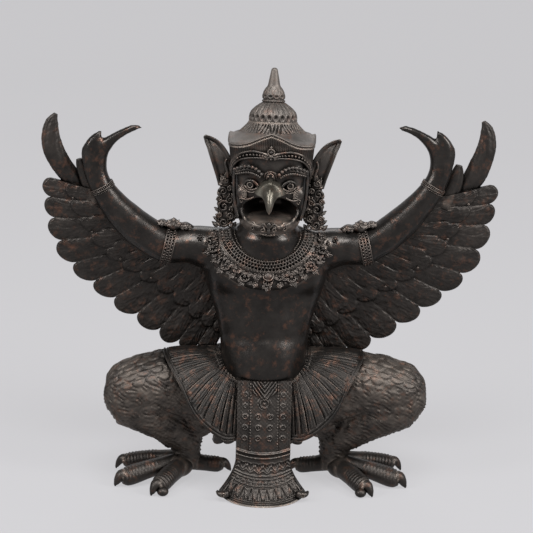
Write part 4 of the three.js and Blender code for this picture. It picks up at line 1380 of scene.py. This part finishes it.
def dome():
    """The fluted dome over the hood, with a pitted petal at the foot of each flute."""
    def petals(height, angle):
        place = (angle * DOME_PETALS / (2 * math.pi)) % 1.0 - 0.5
        distance = np.hypot(place * 6.2, (height - PETAL_LEVEL) * 0.75)
        pit = -2.0 * bump(distance, 1.15)
        rim = 0.8 * bump(distance - 2.5, 0.6) * smooth((352 - height) / 3) * smooth(height - 343)
        ridge = np.abs(np.cos(math.pi * place)) ** 0.6 - 0.6
        lines = 0.35 * np.cos(2 * math.pi * 3 * place + height * 0.5)
        scallop = 0.7 * (np.abs(np.cos(math.pi * place)) - 0.5) * bump(height - 342.2, 1.0)
        flutes = (ridge + lines) * smooth((height - 349) / 3) * smooth((360.6 - height) / 2)
        return pit + rim + scallop + flutes
    return leaned(turned(DOME, 60, 220, petals))


def spire():
    """The spire, with roundels and pointed petals round its foot and a ring of beads under them."""
    def lotus(height, angle):
        place = (angle * SPIRE_PETALS / (2 * math.pi)) % 1.0 - 0.5
        across = np.abs(place) * 5.4
        distance = np.hypot(across, height - ROUNDEL_LEVEL)
        bosses = 0.7 * bump(distance - 1.9, 0.55) - 1.1 * bump(distance, 0.95)
        climb = (height - 366.5) / 8
        point = 0.5 * bump(across - 2.7 * (1 - climb), 0.5) * smooth(climb / 0.1) * smooth((1 - climb) / 0.2)
        beads = 0.45 * np.abs(np.cos(angle * 16)) * bump(height - 361.3, 0.8)
        return bosses * smooth((height - 362.6) / 0.6) + point + beads
    return leaned(turned(SPIRE, 76, 112, lotus))


def head_pieces(carved, bill, crowned):
    """The head's pieces, each turned with it: the mask, its beak and carving, the ears and the crown."""
    hollows = [mouth_hollow(), eye_hollow(1), eye_hollow(-1)]
    skin = fused("mask", [skull(), *head_forms()], MASK_VOXEL, hollows)
    finished(reshaped(skin, lambda points, normals: head_place(points)), carved)
    for name, shapes, material in (
            ("beak", [beak()], bill), ("face_details", [*face_details(), hair_band()], carved),
            ("ears", pair([*ear(), *ear_pendant()]), carved), ("crown", [hood(), dome(), spire()], crowned)):
        piece(name, [moved(shape, head_place) for shape in shapes], material)


# Materials, lights and the camera

# The tone of worn edges, which also paints their highlight.
WORN_AND_HIGHLIGHT_TONE = (0.30, 0.245, 0.205, 1)
RED_TONE = (0.14, 0.066, 0.041, 1)
# Each bronze: its dark and light tones, how far its edges are lightened for wear and painted highlight, and
# its roughness.
BRONZES = {
    "smooth": ((0.016, 0.0145, 0.0135), (0.033, 0.029, 0.026), 0.25, 0.26),
    "carved": ((0.027, 0.0245, 0.0225), (0.060, 0.052, 0.046), 0.42, 0.36),
    "cloth": ((0.014, 0.013, 0.012), (0.031, 0.0265, 0.0235), 0.40, 0.44),
    "jewel": ((0.032, 0.0285, 0.026), (0.066, 0.056, 0.050), 0.13, 0.38),
    "feather": ((0.020, 0.018, 0.0165), (0.042, 0.036, 0.032), 0.30, 0.42),
    "rough": ((0.032, 0.0285, 0.026), (0.102, 0.085, 0.072), 0.50, 0.48),
    "crown": ((0.066, 0.060, 0.055), (0.140, 0.120, 0.106), 0.55, 0.50),
    "beak": ((0.045, 0.040, 0.031), (0.150, 0.139, 0.116), 0.45, 0.30),
}
CAMERA_PLACE = Vector((-90.35, -1497.5, 650)) * TO_METRES
CAMERA_TARGET = Vector((-3.247, 0, 205.84)) * TO_METRES
CAMERA_ROLL = math.radians(1.75)
FOCAL_PIXELS = 1713.1
PHOTO_PIXELS = 533


def bronze_material(name, dark, light, wear_and_highlight, gloss):
    """Patinated bronze: painted shade darkens its hollows, its edges are lighter for wear and painted
    highlight, and it has a few reddish specks.
    """
    material = bpy.data.materials.new(name)
    material.use_nodes = True
    nodes, links = material.node_tree.nodes, material.node_tree.links
    nodes.clear()

    def node(kind, **values):
        made = nodes.new(kind)
        for key, value in values.items():
            socket = key.replace("_", " ")
            if socket in made.inputs.keys():
                made.inputs[socket].default_value = value
            else:
                setattr(made, key, value)
        return made

    def link(source, output, target, socket):
        links.new(source.outputs[output], target.inputs[socket])

    def ramp(source, output, low, high, start, end):
        made = node("ShaderNodeMapRange", From_Min=low, From_Max=high, To_Min=start, To_Max=end)
        link(source, output, made, "Value")
        return made

    def mixed(before, output, factor, factor_output, color):
        made = node("ShaderNodeMix", data_type="RGBA", B=color)
        link(before, output, made, "A")
        link(factor, factor_output, made, "Factor")
        return made

    shader = node("ShaderNodeBsdfPrincipled", Metallic=0.85)
    link(shader, "BSDF", node("ShaderNodeOutputMaterial"), "Surface")
    place = node("ShaderNodeTexCoord")
    clouds = node("ShaderNodeTexNoise", Scale=46.0, Detail=9.0, Roughness=0.72)
    grain = node("ShaderNodeTexNoise", Scale=420.0, Detail=5.0, Roughness=0.62)
    specks = node("ShaderNodeTexNoise", Scale=120.0, Detail=7.0, Roughness=0.72)
    for texture in (clouds, grain, specks):
        link(place, "Object", texture, "Vector")

    tone = node("ShaderNodeValToRGB")
    for element, position, color in zip(tone.color_ramp.elements, (0.34, 0.68), (dark, light)):
        element.position = position
        element.color = (*color, 1)
    link(clouds, "Fac", tone, "Fac")

    # Lighter edges, part wear and part painted highlight: where the surface is convex, the colour is mixed
    # towards the worn, highlight tone.
    convex = node("ShaderNodeAmbientOcclusion", inside=True, samples=6, Distance=0.0016)
    rubbed_and_highlit = node("ShaderNodeMath", operation="MULTIPLY")
    link(ramp(convex, "AO", 0.62, 0.2, 0.0, wear_and_highlight), "Result", rubbed_and_highlit, 0)
    link(ramp(specks, "Fac", 0.36, 0.6, 0.25, 1.0), "Result", rubbed_and_highlit, 1)
    worn = mixed(tone, "Color", rubbed_and_highlit, "Value", WORN_AND_HIGHLIGHT_TONE)
    red = mixed(worn, "Result", ramp(specks, "Fac", 0.53, 0.71, 0.0, 0.58), "Result", RED_TONE)

    # Painted shade: the colour is multiplied darker where the surface is hollow and shade falls.
    concave = node("ShaderNodeAmbientOcclusion", samples=6, Distance=0.005)
    shaded = node("ShaderNodeMix", data_type="RGBA", blend_type="MULTIPLY", Factor=1.0)
    link(red, "Result", shaded, "A")
    link(ramp(concave, "AO", 0.3, 0.92, 0.08, 1.0), "Result", shaded, "B")
    link(shaded, "Result", shader, "Base Color")

    link(ramp(clouds, "Fac", 0.3, 0.7, gloss, gloss + 0.1), "Result", shader, "Roughness")
    relief = node("ShaderNodeBump", Strength=0.3, Distance=0.0006)
    link(grain, "Fac", relief, "Height")
    link(relief, "Normal", shader, "Normal")
    return material


def paper_material():
    """Pale paper that glows a little, so that it is even all round."""
    material = bpy.data.materials.new("paper")
    material.use_nodes = True
    shader = material.node_tree.nodes["Principled BSDF"]
    for socket, value in (("Base Color", (0.07, 0.0694, 0.072, 1)), ("Roughness", 0.9),
                          ("Emission Color", (0.985, 0.975, 1.0, 1)), ("Emission Strength", 0.51),
                          ("Specular IOR Level", 0.0)):
        shader.inputs[socket].default_value = value
    return material


def backdrop():
    """A pale floor that curves up into a pale wall all round."""
    outline = [(0.5, 0), (1.5, 0), (1.9, 0.03), (2.2, 0.14), (2.4, 0.38), (2.5, 0.8), (2.5, 3.0)]
    around = 96
    points = [(0, 0, 0)]
    for reach, z in outline:
        points.extend((reach * math.cos(turn), reach * math.sin(turn), z) for turn in full_turn(around))
    faces = [(0, 1 + k, 1 + (k + 1) % around) for k in range(around)]
    faces.extend((strip_faces(len(outline), around, True) + 1)[:, [0, 3, 2, 1]].tolist())
    mesh = bpy.data.meshes.new("backdrop")
    mesh.from_pydata(points, [], faces)
    mesh.polygons.foreach_set("use_smooth", [True] * len(faces))
    mesh.materials.append(paper_material())
    linked("backdrop", mesh)


def area_light(name, place, target, size, power):
    data = bpy.data.lights.new(name, "AREA")
    data.shape = "RECTANGLE"
    data.size, data.size_y = size
    data.energy = power
    item = linked(name, data)
    item.location = place
    item.rotation_euler = (Vector(target) - Vector(place)).to_track_quat("-Z", "Y").to_euler()


def lights():
    """Soft light from above, from both sides and from behind, with a weak even world."""
    area_light("top_soft", (0.0, -1.0, 2.0), (0, 0, 0.25), (1.0, 0.7), 52)
    area_light("left_soft", (-1.35, -0.85, 1.05), (0, 0, 0.22), (0.4, 0.8), 24)
    area_light("right_soft", (1.35, -0.85, 1.0), (0, 0, 0.22), (0.4, 0.8), 32)
    area_light("back_soft", (0, 1.5, 1.5), (0, 0, 0.2), (1.2, 0.6), 9)
    world = bpy.data.worlds.new("studio")
    world.use_nodes = True
    background = world.node_tree.nodes["Background"]
    background.inputs["Color"].default_value = (0.9, 0.9, 0.93, 1)
    background.inputs["Strength"].default_value = 0.2
    bpy.context.scene.world = world


def camera():
    """The photograph's view: from above the figure's head, almost straight on."""
    forward = (CAMERA_TARGET - CAMERA_PLACE).normalized()
    right = forward.cross(Vector((0, 0, 1))).normalized()
    up = right.cross(forward)
    across = right * math.cos(CAMERA_ROLL) + up * math.sin(CAMERA_ROLL)
    above = up * math.cos(CAMERA_ROLL) - right * math.sin(CAMERA_ROLL)
    data = bpy.data.cameras.new("camera")
    data.sensor_width = 36
    data.lens = FOCAL_PIXELS / PHOTO_PIXELS * data.sensor_width
    data.clip_end = 50
    item = linked("camera", data)
    columns = Matrix((across, above, -forward)).transposed().to_4x4()
    item.matrix_world = Matrix.Translation(CAMERA_PLACE) @ columns
    bpy.context.scene.camera = item


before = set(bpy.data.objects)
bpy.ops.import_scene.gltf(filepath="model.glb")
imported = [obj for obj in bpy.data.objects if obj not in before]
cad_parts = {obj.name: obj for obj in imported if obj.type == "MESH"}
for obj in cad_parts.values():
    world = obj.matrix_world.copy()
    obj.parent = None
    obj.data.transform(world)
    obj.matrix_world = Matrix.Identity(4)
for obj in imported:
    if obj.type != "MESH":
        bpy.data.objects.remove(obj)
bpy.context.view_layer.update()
bronze = {name: bronze_material(f"{name}_bronze", *looks) for name, looks in BRONZES.items()}

body_piece(bronze["smooth"])
head_pieces(bronze["carved"], bronze["beak"], bronze["crown"])
piece("necklace", [collar_band()], bronze["carved"])
piece("necklace_ornaments", collar_ornaments(), bronze["jewel"])
piece("arm_ornaments", arm_ornaments(), bronze["jewel"])
half_wing = wing()
piece("wing_right", [dropped(swayed(shape, WING_SWAY)) for shape in half_wing], bronze["feather"])
piece("wing_left", [swayed(mirrored(shape), WING_SWAY) for shape in half_wing], bronze["feather"])
legs(bronze["rough"])
piece("feet", pair(foot()), bronze["feather"])
piece("skirt", pair([skirt()]), bronze["cloth"])
piece("sash", [sash(), *pair(sash_corner())], bronze["carved"])
piece("tail", map(tail_feather, range(TAIL_FEATHERS)), bronze["carved"])

backdrop()
lights()
camera()

view_settings = bpy.context.scene.view_settings
view_settings.view_transform = "Standard"
